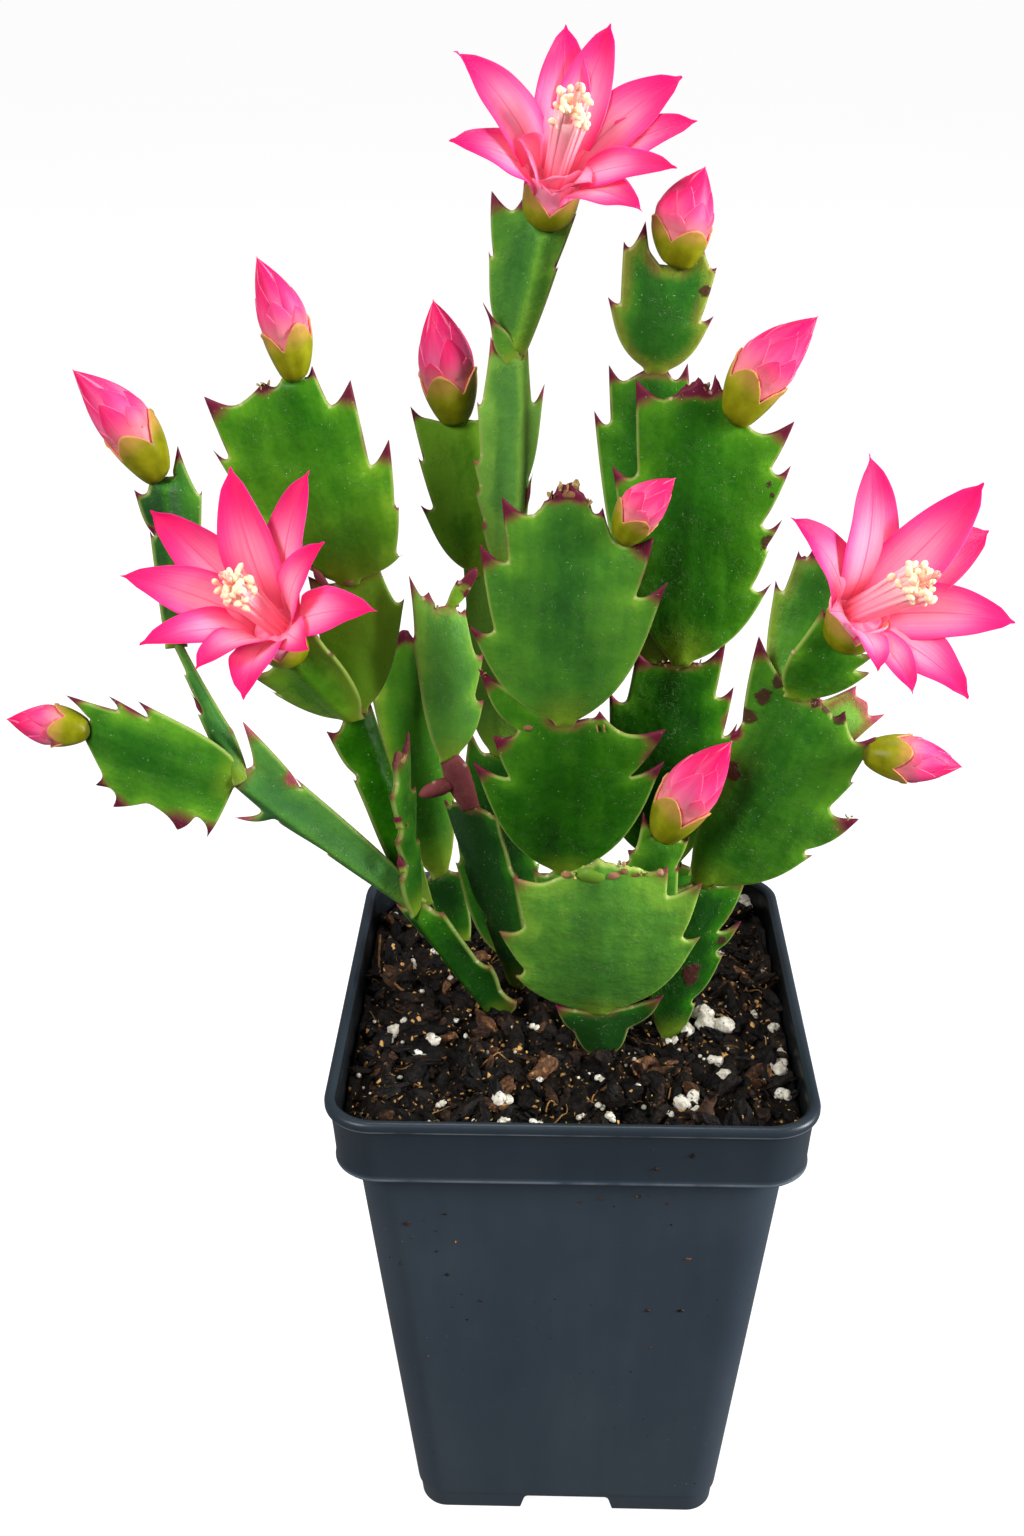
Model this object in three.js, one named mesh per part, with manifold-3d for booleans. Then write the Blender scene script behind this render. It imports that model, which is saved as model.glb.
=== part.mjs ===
// A flat-stemmed holiday cactus in bloom, standing in a square nursery pot.
// Millimetres, +Z up. The origin is on the floor, at the centre of the pot's underside. The viewer stands at -Y.

import * as THREE from 'three';
import { mergeVertices } from 'three/addons/utils/BufferGeometryUtils.js';
import Module from 'manifold-3d';

const wasm = await Module();
wasm.setup();

// Driving dimensions

const GAP = 0.3; // clear space between pieces that touch
const POT_HEIGHT = 126;
const RIM_WIDTH = 100;
const BAND_HEIGHT = 15.9;
const BAND_FOOT_WIDTH = 96.8;
const BODY_TOP_WIDTH = 88.6;
const BASE_WIDTH = 68.7;
const WALL = 1.3;
const LIP = 2.4; // width of the rolled rim
const FOOT_HEIGHT = 3.5; // the notches between the corner feet are as high
const NOTCH_WIDTH = 20;
const FLOOR_THICKNESS = 1.6;
const CENTRE_PAD_RADIUS = 9;
const SOIL_LEVEL = 118.6;
const SOIL_RELIEF = 1.1; // height of the lumps on the potting mix
const ROOT_DEPTH = 9; // how far a foot reaches into the potting mix

const STEM_THICKNESS = 3.2; // a segment at its midrib
const MARGIN_THICKNESS = 1; // a segment at its edge
const JOINT_HALF_WIDTH = 2.2; // half the neck between two segments
const NARROW_NECK = 0.6; // a narrow segment's neck is this share of its width
const SEAT_DEPTH = 1.5; // a segment starts this far inside the one that carries it

const PETAL_THICKNESS = 0.8;
const SHORTEST_EDGE = 0.02; // slivers left by joining are closed up below this
const BUD_CUP_SHARE = 0.36; // share of a bud's length that is its green cup

const GREEN = { color: 0x2f6b1e, roughness: 0.4, metalness: 0 };
const CUP_GREEN = { color: 0x98a02c, roughness: 0.4, metalness: 0 };
const PINK = { color: 0xf0468c, roughness: 0.4, metalness: 0 };
const CREAM = { color: 0xf6cfae, roughness: 0.75, metalness: 0 };
const SLATE_PLASTIC = { color: 0x2b3540, roughness: 0.4, metalness: 0 };
const DARK_SOIL = { color: 0x2e1d14, roughness: 0.75, metalness: 0 };

// Stem segments
//
// on: the segment that carries it, or root: where its foot stands in the potting mix, as [x, y]
// seat: where on the carrier, as [share of its length, share of its half width, millimetres in front of its midplane]
// length and width in millimetres; lean: degrees from upright, + to the viewer's right
// toward: degrees of tilt to the viewer; turn: degrees about its own length
// arch and sway: bulge of the midrib to the front and to the right; keel: extra height of the front midrib
// left and right: teeth from the foot up, each [tip along, tip out, notch along, notch out]
// as shares of the length and of half the width

const SEGMENTS = {
  front_low: {
    root: [6.9, -15.3], length: 13.6, lean: -3.9, toward: 12, width: 17,
    left: [[0.5, 0.5, 0.52, 0.5], [1.2, 1.1, 1.05, 0.6]],
    right: [[0.5, 0.5, 0.52, 0.5], [1.3, 1.6, 1.05, 0.8]],
  },
  front_wide: {
    on: 'front_low', length: 46.5, lean: -1.4, toward: 19, width: 38, arch: 1.2,
    left: [[0.3, 0.93, 0.34, 0.81], [0.6, 1.06, 0.64, 0.78], [0.94, 0.88, 0.92, 0.47]],
    right: [[0.56, 1.06, 0.55, 0.86], [0.9, 1.04, 0.81, 0.68], [0.98, 0.69, 0.98, 0.4]],
  },
  centre_base: {
    root: [1, 7.5], length: 34.9, lean: -4.7, toward: 6, width: 15,
    left: [[0.6, 0.9, 0.62, 0.7], [1.04, 0.9, 0.97, 0.5]],
    right: [[0.5, 0.9, 0.52, 0.7], [1.04, 0.9, 0.97, 0.5]],
  },
  centre_mid: {
    on: 'centre_base', length: 40.5, lean: -0.2, toward: 12, width: 37, arch: 1.4,
    left: [[0.76, 1.02, 0.66, 0.61], [0.92, 0.79, 0.95, 0.5], [1.28, 0.94, 1.08, 0.3]],
    right: [[0.77, 1.11, 0.67, 0.72], [0.96, 1.11, 0.95, 0.59], [1.06, 0.38, 1.02, 0.28]],
  },
  centre_top: {
    on: 'centre_mid', length: 49.6, lean: 0.4, toward: 4, width: 35, arch: 1.5,
    left: [[0.45, 1.1, 0.42, 0.8], [0.78, 0.96, 0.71, 0.64], [0.97, 0.72, 0.9, 0.37]],
    right: [[0.64, 1.1, 0.57, 0.75], [0.82, 0.93, 0.8, 0.5], [0.93, 0.37, 0.93, 0.25]],
  },
  dark: {
    root: [-12.4, 10], length: 50.2, lean: -11.3, toward: 4, width: 18, turn: -42,
    left: [[0.37, 0.56, 0.39, 0.44], [0.66, 0.89, 0.68, 0.76], [0.98, 0.94, 0.97, 0.69]],
    right: [[0.71, 1.1, 0.72, 0.94], [1.02, 0.95, 0.99, 0.66]],
  },
  stub: {
    on: 'dark', length: 12.9, lean: -19.1, toward: 4, width: 7.4, turn: -20, thickness: 4.4,
    left: [[0.55, 0.95, 0.6, 0.85]],
    right: [[0.75, 0.95, 0.8, 0.85]],
  },
  left_centre: {
    on: 'stub', length: 33.8, lean: -0.1, toward: 0, width: 16.5, turn: 30, arch: 1.5,
    left: [[0.84, 0.96, 0.87, 0.87], [1.22, 0.85, 1.07, 0.57], [1.1, 0.38, 1.03, 0.23]],
    right: [[0.35, 0.95, 0.39, 0.69], [0.66, 0.94, 0.7, 0.67], [0.96, 0.53, 0.96, 0.31]],
  },
  stub_bud: {
    on: 'stub', seat: [0.5, -0.3, 0.6], length: 6.9, lean: -104, toward: 20, width: 4.6, thickness: 3.6,
    left: [[0.45, 0.9, 0.6, 0.85]],
    right: [[0.45, 0.9, 0.6, 0.85]],
  },
  shoot: {
    on: 'left_centre', seat: [1, 0.2, 0], length: 8.3, lean: 33.4, toward: 0, width: 3.4, thickness: 1.8,
    left: [[0.62, 1.15, 0.6, 0.7]],
    right: [[0.45, 0.9, 0.6, 0.8]],
  },
  foot_left: {
    root: [-15.8, -1.5], length: 35.5, lean: -30.5, toward: 4, width: 12, turn: -25, keel: 1.5,
    left: [[0.55, 0.7, 0.57, 0.6], [1.03, 0.8, 0.98, 0.4]],
    right: [[0.1, 1.2, 0.2, 0.8], [0.42, 1.2, 0.47, 0.8], [0.9, 0.9, 0.94, 0.5]],
  },
  branch: {
    on: 'foot_left', length: 50.8, lean: -42.3, toward: 14, width: 17, arch: 0.6, keel: 1.6,
    left: [[0.48, 0.28, 0.5, 0.22], [0.74, 0.34, 0.76, 0.3], [0.88, 0.94, 0.82, 0.34]],
    right: [[0.84, 0.89, 0.78, 0.72], [1.16, 1.19, 0.99, 0.47]],
  },
  far_left: {
    on: 'branch', length: 30.6, lean: -67.2, toward: 6, width: 21.6, arch: 0.8,
    left: [
      [0.05, 1.41, 0.17, 1.01], [0.25, 1.43, 0.49, 1.07], [0.69, 1.39, 0.75, 1],
      [0.84, 1.06, 0.84, 0.72],
    ],
    right: [[0.76, 0.88, 0.66, 0.61], [0.94, 0.77, 0.85, 0.56], [1.19, 0.48, 1.06, 0.29]],
  },
  riser: {
    on: 'branch', seat: [1, 0.05, 0.5], length: 29.6, lean: -25.7, toward: -18, width: 6, turn: 20, keel: 0.6,
    left: [[0.5, 1, 0.5, 0.6], [0.78, 0.85, 0.78, 0.5]],
    right: [[0.3, 1, 0.5, 0.85]],
  },
  bud_bearer: {
    on: 'riser', length: 32.5, lean: -0.1, toward: -4, width: 15, turn: 20, keel: 1.2,
    left: [[0.69, 0.42, 0.65, 0.28], [0.94, 0.72, 0.92, 0.38]],
    right: [[0.91, 0.98, 0.89, 0.87], [1.18, 0.46, 1.02, 0.26]],
  },
  thin: {
    on: 'foot_left', seat: [0.99, 0.1, 1.2], length: 39.5, lean: -2.4, toward: 9, width: 12, turn: 66,
    left: [[0.3, 0.8, 0.34, 0.4], [0.55, 0.8, 0.6, 0.4], [0.86, 0.9, 0.88, 0.4]],
    right: [[0.4, 0.7, 0.44, 0.4], [0.74, 0.8, 0.78, 0.4], [1.1, 0.8, 0.98, 0.3]],
  },
  bearer: {
    on: 'foot_left', seat: [0.97, 0.1, -1.6], length: 45.5, lean: -16.3, toward: -6, width: 15, turn: 32,
    left: [[0.7, 0.77, 0.71, 0.65], [0.96, 1.06, 0.96, 0.57]],
    right: [[0.65, 0.5, 0.67, 0.41], [1.04, 0.43, 0.98, 0.21]],
  },
  bloom_bearer_left: {
    on: 'bearer', seat: [0.98, -0.25, 0.8], length: 21.9, lean: -30.5, toward: 24, width: 18, turn: -20, keel: 0.8,
    left: [[0.61, 1.3, 0.5, 1.07], [0.87, 1.3, 0.9, 0.7]],
    right: [[0.91, 0.97, 0.95, 0.93], [1.28, 1.01, 1.15, 0.58]],
  },
  left_mid: {
    on: 'bearer', length: 27.2, lean: -1.2, toward: -4, width: 21, turn: 10,
    left: [[1.06, 0.77, 0.99, 0.27]],
    right: [[0.84, 1.05, 0.82, 0.86], [1.17, 0.54, 1.02, 0.22]],
  },
  left_big: {
    on: 'left_mid', length: 42.7, lean: -11, toward: 4, width: 33.5, arch: 1.4,
    left: [[0.75, 1.12, 0.7, 0.95], [0.99, 1.05, 0.93, 0.66], [1, 0.35, 0.99, 0.16]],
    right: [
      [0.09, 0.72, 0.11, 0.65], [0.33, 0.82, 0.35, 0.78], [0.65, 0.9, 0.54, 0.61],
      [0.94, 0.63, 0.84, 0.33], [1.03, 0.24, 0.99, 0.11],
    ],
  },
  inner_left: {
    root: [-26.2, 30.4], length: 18.4, lean: -15.6, toward: -4, width: 11,
    left: [[0.95, 0.9, 0.98, 0.5]],
    right: [[0.95, 0.9, 0.98, 0.5]],
  },
  left_back: {
    on: 'inner_left', length: 62, lean: -6.1, toward: 3, width: 21, turn: 30, arch: -2,
    left: [[0.48, 0.85, 0.5, 0.72], [0.81, 0.85, 0.82, 0.7], [1.03, 0.72, 0.99, 0.3]],
    right: [[0.52, 0.85, 0.53, 0.72], [0.78, 0.85, 0.8, 0.7], [1, 0.6, 0.97, 0.25]],
  },
  tall_base: {
    root: [-14.9, 24], length: 52.8, lean: -1.6, toward: -1, width: 24, turn: 12,
    left: [[0.5, 0.95, 0.52, 0.85], [0.8, 0.95, 0.82, 0.8], [1.13, 0.55, 1, 0.3]],
    right: [[0.45, 0.7, 0.47, 0.6], [0.75, 0.75, 0.77, 0.6], [1.04, 0.6, 0.98, 0.3]],
  },
  tall_low: {
    on: 'tall_base', length: 43.4, lean: 0.4, toward: -2, width: 20, turn: -10, arch: -1,
    left: [[0.45, 0.9, 0.47, 0.75], [0.75, 0.95, 0.77, 0.75], [1.06, 0.8, 0.98, 0.5]],
    right: [[0.5, 0.9, 0.52, 0.75], [0.8, 0.95, 0.82, 0.75], [1.06, 0.8, 0.98, 0.5]],
  },
  tall_mid: {
    on: 'tall_low', seat: [1, 0.25, 0], length: 46.3, lean: 1.7, toward: 0, width: 14.5, turn: 22, keel: 2.4,
    left: [
      [0.21, 0.93, 0.24, 0.88], [0.38, 1.16, 0.4, 1.01], [0.52, 1.21, 0.54, 1],
      [0.78, 1.14, 0.79, 0.97], [1.06, 0.77, 0.98, 0.49],
    ],
    right: [[0.43, 0.54, 0.41, 0.45], [0.84, 0.87, 0.75, 0.5], [1.04, 0.32, 0.98, 0.13]],
  },
  tall_top: {
    on: 'tall_mid', length: 24.9, lean: 13.4, toward: 4, width: 17, turn: -12, keel: 1.8,
    left: [[0.68, 1.16, 0.64, 1.01], [1.13, 1.39, 1.02, 0.8], [1.14, 0.65, 1.06, 0.35]],
    right: [[0.72, 0.52, 0.7, 0.46], [1.15, 0.63, 1.08, 0.43]],
  },
  back_mid: {
    on: 'tall_low', seat: [0.97, -0.4, 0.2], length: 31.9, lean: -8.6, toward: -8, width: 19, turn: 15,
    left: [[0.51, 1.12, 0.47, 0.83], [0.82, 0.99, 0.79, 0.88], [1.15, 0.98, 1.06, 0.7]],
    right: [[0.45, 0.55, 0.48, 0.45], [1.04, 0.75, 0.99, 0.38]],
  },
  right_base: {
    root: [18.6, 9.9], length: 33.5, lean: 5.1, toward: 0, width: 18,
    left: [[0.55, 0.8, 0.57, 0.65], [1.02, 0.9, 0.98, 0.5]],
    right: [[0.6, 0.8, 0.62, 0.65], [1.02, 0.9, 0.98, 0.5]],
  },
  right_mid: {
    on: 'right_base', length: 48, lean: 0.6, toward: 0, width: 22, arch: -1,
    left: [[0.3, 1.35, 0.32, 1.2], [0.85, 1.33, 0.8, 1], [1.05, 0.85, 0.99, 0.39]],
    right: [[0.71, 1.16, 0.64, 0.88], [0.88, 1.04, 0.83, 0.69], [1.1, 0.82, 0.99, 0.36]],
  },
  right_big: {
    on: 'right_mid', length: 57.9, lean: 0.8, toward: 2, width: 31.7, arch: 1.2,
    left: [[0.73, 1, 0.7, 0.68], [1.02, 0.75, 0.96, 0.32]],
    right: [
      [0.32, 1.09, 0.3, 0.83], [0.46, 1.03, 0.45, 0.97], [0.55, 1.15, 0.53, 0.89],
      [0.74, 1.2, 0.73, 0.95], [0.89, 1.2, 0.86, 0.69], [1.04, 0.2, 0.98, 0.15],
    ],
  },
  right_lean: {
    on: 'right_base', seat: [0.97, 0.7, 0.6], length: 32.2, lean: 15.8, toward: 4, width: 14, turn: 35, arch: 1.2,
    left: [[0.5, 0.8, 0.52, 0.68], [0.98, 0.9, 0.92, 0.5]],
    right: [[0.55, 0.8, 0.57, 0.68], [1.1, 0.4, 0.98, 0.2]],
  },
  right_back: {
    on: 'right_mid', seat: [0.97, -0.5, -1], length: 60.3, lean: -1.1, toward: -8, width: 22.4, arch: -3,
    left: [[0.45, 0.92, 0.46, 0.82], [0.87, 1.09, 0.83, 0.79], [1.02, 0.83, 0.97, 0.49]],
    right: [[0.4, 0.92, 0.41, 0.82], [0.7, 1.03, 0.68, 0.82], [1.02, 0.56, 0.97, 0.29]],
  },
  right_top: {
    on: 'right_back', length: 20.4, lean: 6, toward: 4, width: 20, arch: 1,
    left: [[0.66, 1.13, 0.6, 0.86], [1.17, 0.95, 1.11, 0.8], [1.36, 0.58, 1.11, 0.45]],
    right: [[0.59, 0.96, 0.52, 0.7], [1.03, 0.88, 1.02, 0.75], [1.22, 0.55, 1.12, 0.47]],
  },
  right_low: {
    root: [22, -8.7], length: 40.4, lean: 6.9, toward: 2, width: 19, turn: 15,
    left: [[0.71, 1, 0.68, 0.86], [1.02, 1.1, 0.96, 0.59]],
    right: [
      [0.23, 0.44, 0.25, 0.32], [0.55, 0.87, 0.57, 0.67], [0.75, 1.14, 0.69, 0.59],
      [1.05, 1.07, 0.98, 0.38],
    ],
  },
  right_wide: {
    on: 'right_low', length: 50.6, lean: 20, toward: 10, width: 30, arch: 1.2,
    left: [[0.75, 0.64, 0.8, 0.58], [1.16, 0.89, 1.02, 0.32]],
    right: [
      [0.33, 1.18, 0.34, 1.02], [0.56, 1.46, 0.57, 1], [0.72, 1.14, 0.73, 1.08],
      [0.93, 1.1, 0.89, 0.82], [0.99, 0.56, 0.96, 0.42],
    ],
  },
  bloom_bearer_right: {
    on: 'right_wide', seat: [0.99, -0.12, 0.8], length: 15.7, lean: 28.2, toward: 20, width: 14.5, turn: 12, arch: 0.6,
    left: [[0.67, 1.11, 0.67, 1.06], [1.33, 1.03, 1.15, 0.67]],
    right: [[0.76, 1.16, 0.71, 0.72], [1, 0.94, 0.95, 0.51]],
  },
  right_back_top: {
    on: 'right_wide', seat: [0.98, -0.3, -0.9], length: 27.3, lean: 14.2, toward: -8, width: 17, turn: -15, arch: -1.5,
    left: [[0.71, 0.85, 0.64, 0.6], [0.95, 0.55, 0.92, 0.3]],
    right: [[0.67, 1, 0.64, 0.85], [1, 0.7, 0.95, 0.4]],
  },
  behind_wide: {
    on: 'right_wide', seat: [0.74, 0.25, -1.6], length: 15.7, lean: 58.8, toward: -14, width: 15,
    left: [[0.6, 0.9, 0.62, 0.75], [1.04, 0.7, 0.98, 0.4]],
    right: [[0.55, 0.95, 0.57, 0.8], [1.12, 0.9, 0.98, 0.45]],
  },
  young: {
    on: 'right_low', seat: [0.55, -0.6, 1], length: 35.2, lean: -2.7, toward: 14.1, width: 13,
    left: [[0.8, 1.3, 0.83, 1.05], [0.9, 1.12, 0.92, 0.85], [1.19, 0.62, 1.04, 0.35]],
    right: [[0.75, 0.45, 0.77, 0.4], [1, 0.8, 0.97, 0.5]],
  },
};

// The leafy stems: each grew as one piece, segment on segment

const STEMS = {
  stem_front: ['front_low', 'front_wide'],
  stem_centre: ['centre_base', 'centre_mid', 'centre_top'],
  stem_left_centre: ['dark', 'stub', 'stub_bud', 'left_centre', 'shoot'],
  stem_left: [
    'foot_left', 'branch', 'far_left', 'riser', 'bud_bearer', 'thin', 'bearer', 'left_mid', 'left_big',
    'bloom_bearer_left',
  ],
  stem_back_left: ['inner_left', 'left_back'],
  stem_tall: ['tall_base', 'tall_low', 'tall_mid', 'tall_top', 'back_mid'],
  stem_right: ['right_base', 'right_mid', 'right_big', 'right_lean', 'right_back', 'right_top'],
  stem_right_front: ['right_low', 'right_wide', 'bloom_bearer_right', 'right_back_top', 'behind_wide', 'young'],
};

// Buds: the segment that carries each one, its seat there, length, width, lean and tilt to the viewer,
// and bow: how far its middle bulges upward

const BUDS = {
  bud_1: { on: 'bud_bearer', seat: [1, -0.05, 0], length: 25.1, width: 10.3, lean: -33.2, toward: 5, bow: 1.5 },
  bud_2: { on: 'left_big', seat: [0.99, 0.03, 0], length: 23.3, width: 9.1, lean: -13.9, toward: 5, bow: 1.1 },
  bud_3: { on: 'back_mid', seat: [1, -0.04, 0], length: 25.8, width: 11.6, lean: -8.8, toward: 5, bow: 0.3 },
  bud_4: { on: 'right_top', seat: [1.01, 0.11, 0], length: 18.7, width: 11.4, lean: 14.3, toward: 5, bow: 1.3 },
  bud_5: { on: 'right_big', seat: [0.89, 0.45, 0], length: 25, width: 11.2, lean: 36, toward: 5, bow: 1.7 },
  bud_6: { on: 'centre_top', seat: [0.81, 0.57, 0.6], length: 16.2, width: 8.6, lean: 37.6, toward: 8, bow: 1.1 },
  bud_7: { on: 'young', seat: [1, -0.07, 0], length: 27.2, width: 10.9, lean: 27.2, toward: 12, bow: 0.7 },
  bud_8: { on: 'right_wide', seat: [0.85, 1.07, 0], length: 18.9, width: 9.1, lean: 96.7, toward: 5 },
  bud_9: { on: 'far_left', seat: [0.99, -0.02, 0], length: 15.7, width: 8, lean: -79.5, toward: 5 },
};

// Blooms: carrier, then lean and tilt of the whorl of petals, of the tube under it and of the column of filaments,
// and the petals.
// Each petal: degrees round the flower from its uppermost direction toward the viewer's right,
// degrees of opening from the flower's line, length from the throat, width

const BLOOMS = {
  bloom_top: {
    on: 'tall_top', lean: 15.3, toward: 47, tubeLean: 11, tubeToward: 22, tube: 10,
    columnLean: 14, columnToward: 34, column: 17,
    petals: [
      [8, 59, 26.8, 9.6], [27, 59, 28.8, 8.8], [64, 61, 29.2, 9.6], [84, 62, 28, 8.4], [112, 55, 24.4, 7],
      [139, 60, 21, 8.4], [-137, 38, 14, 6], [-88, 60, 24.1, 8], [-51, 54, 29.3, 9.8],
    ],
  },
  bloom_left: {
    on: 'bloom_bearer_left', lean: -17.8, toward: 42.2, tubeLean: -13, tubeToward: 30, tube: 10.2,
    columnLean: -36, columnToward: 44, column: 14,
    petals: [
      [-18, 45, 30.7, 10], [17, 52, 30.8, 9.2], [52, 44, 24, 7.6], [87, 65, 26.7, 9.4], [119, 58, 16.9, 7.6],
      [164, 55, 24.8, 8.6], [-170, 43, 24.5, 8.4], [-134, 46, 27.7, 7.8], [-95, 48, 30.1, 9.8],
      [-61, 51, 31, 9.8],
    ],
  },
  bloom_right: {
    on: 'bloom_bearer_right', lean: 26.8, toward: 42.3, tubeLean: 13.7, tubeToward: 23.4, tube: 8.3,
    columnLean: 44, columnToward: 37, column: 15.5,
    petals: [
      [2, 51, 28.3, 10], [56, 48, 30.6, 10], [73, 69, 28.5, 9.4], [113, 67, 27.5, 10], [155, 69, 24.8, 9],
      [182, 65, 20, 7], [-157, 60, 16, 6], [-94, 58, 11.5, 5.4], [-48, 56, 25.7, 9],
    ],
  },
};

// Small helpers

const degrees = (a) => (a * Math.PI) / 180;
const clamp = (x, low, high) => Math.min(high, Math.max(low, x));
const lerp = (a, b, t) => a + (b - a) * t;

// the direction of something that leans by one angle and tilts to the viewer by another
function direction(lean, toward) {
  const l = degrees(lean);
  const t = degrees(toward);
  return new THREE.Vector3(Math.sin(l) * Math.cos(t), -Math.sin(t), Math.cos(l) * Math.cos(t));
}

// a closed solid from a list of points and triangles
function solidFrom(points, triangles) {
  const geometry = new THREE.BufferGeometry();
  geometry.setAttribute('position', new THREE.Float32BufferAttribute(points.flatMap((p) => [p.x, p.y, p.z]), 3));
  geometry.setIndex(triangles.flat());
  return solidOf(geometry);
}

function solidOf(geometry) {
  const bare = geometry.clone();
  bare.deleteAttribute('normal');
  bare.deleteAttribute('uv');
  const merged = mergeVertices(bare, 1e-4);
  return new wasm.Manifold(new wasm.Mesh({
    numProp: 3,
    vertProperties: new Float32Array(merged.attributes.position.array),
    triVerts: new Uint32Array(merged.index.array),
  }));
}

// the largest of the bodies that a cut leaves
function largest(solid) {
  const bodies = solid.decompose();
  return bodies.reduce((best, body) => (body.volume() > best.volume() ? body : best));
}

function meshOf(name, solid, look) {
  const raw = solid.simplify(SHORTEST_EDGE).getMesh();
  const geometry = new THREE.BufferGeometry();
  geometry.setAttribute('position', new THREE.BufferAttribute(new Float32Array(raw.vertProperties), 3));
  geometry.setIndex(Array.from(raw.triVerts));
  geometry.computeVertexNormals();
  const mesh = new THREE.Mesh(geometry, new THREE.MeshStandardMaterial(look));
  mesh.name = name;
  return mesh;
}

// triangles between two rows of points, each row with its own share along the piece
function stitch(rowA, sharesA, rowB, sharesB, flip) {
  const triangles = [];
  let i = 0;
  let j = 0;
  while (i < rowA.length - 1 || j < rowB.length - 1) {
    const stepA = j === rowB.length - 1 || (i < rowA.length - 1 && sharesA[i + 1] <= sharesB[j + 1]);
    const triangle = stepA ? [rowA[i], rowB[j], rowA[i + 1]] : [rowA[i], rowB[j], rowB[j + 1]];
    triangles.push(flip ? [triangle[0], triangle[2], triangle[1]] : triangle);
    if (stepA) i += 1;
    else j += 1;
  }
  return triangles;
}

// The outline of a flat segment

const TOOTH_STEPS = 2; // points between a notch and the next tooth tip
const MIDRIB_STEPS = 12; // the rows start at whole steps along the midrib
const ROW_SLOPE = 0.42; // how far the rows across a segment rise from midrib to margin, as a share of the way out

// one side of the outline, from the foot to the joint at the tip, as [share along, share out]
function sideOutline(teeth, neck) {
  const outline = [[0, neck]];
  let [along, out] = outline[0];
  for (const [tipAlong, tipOut, notchAlong, notchOut] of teeth) {
    const risen = tipAlong - along;
    const grown = tipOut - out;
    const bulge = new THREE.CubicBezierCurve(
      new THREE.Vector2(along, out),
      new THREE.Vector2(along + risen * 0.25, out + grown * (grown > 0.4 ? 0.75 : 0.4)),
      new THREE.Vector2(along + risen * 0.7, out + grown * 0.8),
      new THREE.Vector2(tipAlong, tipOut),
    );
    const steps = risen > 0.15 ? TOOTH_STEPS : 1;
    for (let i = 1; i <= steps; i += 1) {
      const point = bulge.getPoint(i / steps);
      outline.push([point.x, point.y]);
    }
    outline.push([notchAlong, notchOut]);
    [along, out] = [notchAlong, notchOut];
  }
  outline.push([1, neck]);
  return outline;
}

// the outline moved outward by a distance in millimetres, for a segment of this length and half width
function widened(outline, distance, length, halfWidth) {
  const flat = outline.map(([along, out]) => new THREE.Vector2(out * halfWidth, along * length));
  return flat.map((point, i) => {
    const before = flat[i - 1] ?? new THREE.Vector2(0, point.y);
    const after = flat[i + 1] ?? new THREE.Vector2(0, point.y);
    const normals = [[before, point], [point, after]].map(([a, b]) => (
      new THREE.Vector2(b.y - a.y, a.x - b.x).normalize()
    ));
    const middle = normals[0].clone().add(normals[1]).normalize();
    const reach = distance / Math.max(middle.dot(normals[0]), 0.4);
    return [(point.y + middle.y * reach) / length, (point.x + middle.x * reach) / halfWidth];
  });
}

// for each outline point, the share along the midrib where its row starts
function rowStarts(outline, spread) {
  const starts = [];
  let reached = 0;
  for (const [along, out] of outline) {
    const start = Math.round((along - out * spread * ROW_SLOPE) * MIDRIB_STEPS) / MIDRIB_STEPS;
    reached = clamp(start, reached, 1);
    starts.push(reached);
  }
  starts[0] = 0;
  starts[starts.length - 1] = 1;
  return starts;
}

// tooth tips that reach above the row to the next notch: they are left out of the rows, each as a triangle of its own
function toothTips(flat, starts) {
  const rows = flat.map((_, i) => i);
  const tips = [];
  const turn = (a, b, c) => (b.x - a.x) * (c.y - a.y) - (b.y - a.y) * (c.x - a.x);
  for (let k = 1; k < rows.length - 1; k += 1) {
    const [before, tip, after] = [rows[k - 1], rows[k], rows[k + 1]];
    const middle = new THREE.Vector2(0, starts[after]);
    if (turn(middle, flat[tip], flat[after]) < 0.01 && turn(flat[before], flat[tip], flat[after]) > 0) {
      tips.push([before, tip, after]);
      rows.splice(k, 1);
      k = Math.max(k - 2, 0);
    }
  }
  return { rows, tips };
}

// the frame of a segment: its foot, and its directions along, across and to the front
const frames = new Map();

function frameOf(name) {
  if (frames.has(name)) return frames.get(name);
  const segment = SEGMENTS[name];
  const along = direction(segment.lean, segment.toward);
  const front = new THREE.Vector3(0, -1, 0);
  front.addScaledVector(along, -front.dot(along)).normalize();
  front.applyAxisAngle(along, degrees(segment.turn ?? 0));
  const across = new THREE.Vector3().crossVectors(along, front);
  let foot;
  if (segment.root) foot = new THREE.Vector3(segment.root[0], segment.root[1], SOIL_LEVEL);
  else foot = seatPoint(segment.on, segment.seat ?? [1, 0, 0]);
  const frame = { segment, along, across, front, foot };
  frames.set(name, frame);
  return frame;
}

// a point of a segment: share along, millimetres across, millimetres in front of its midplane
function place({ segment, along, across, front, foot }, share, side, height) {
  const bulge = 4 * share * (1 - share);
  return foot.clone()
    .addScaledVector(along, share * segment.length)
    .addScaledVector(across, side + (segment.sway ?? 0) * bulge)
    .addScaledVector(front, height + (segment.arch ?? 0) * bulge);
}

function seatPoint(name, [share, out, height]) {
  const frame = frameOf(name);
  return place(frame, share, (out * frame.segment.width) / 2, height);
}

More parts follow.
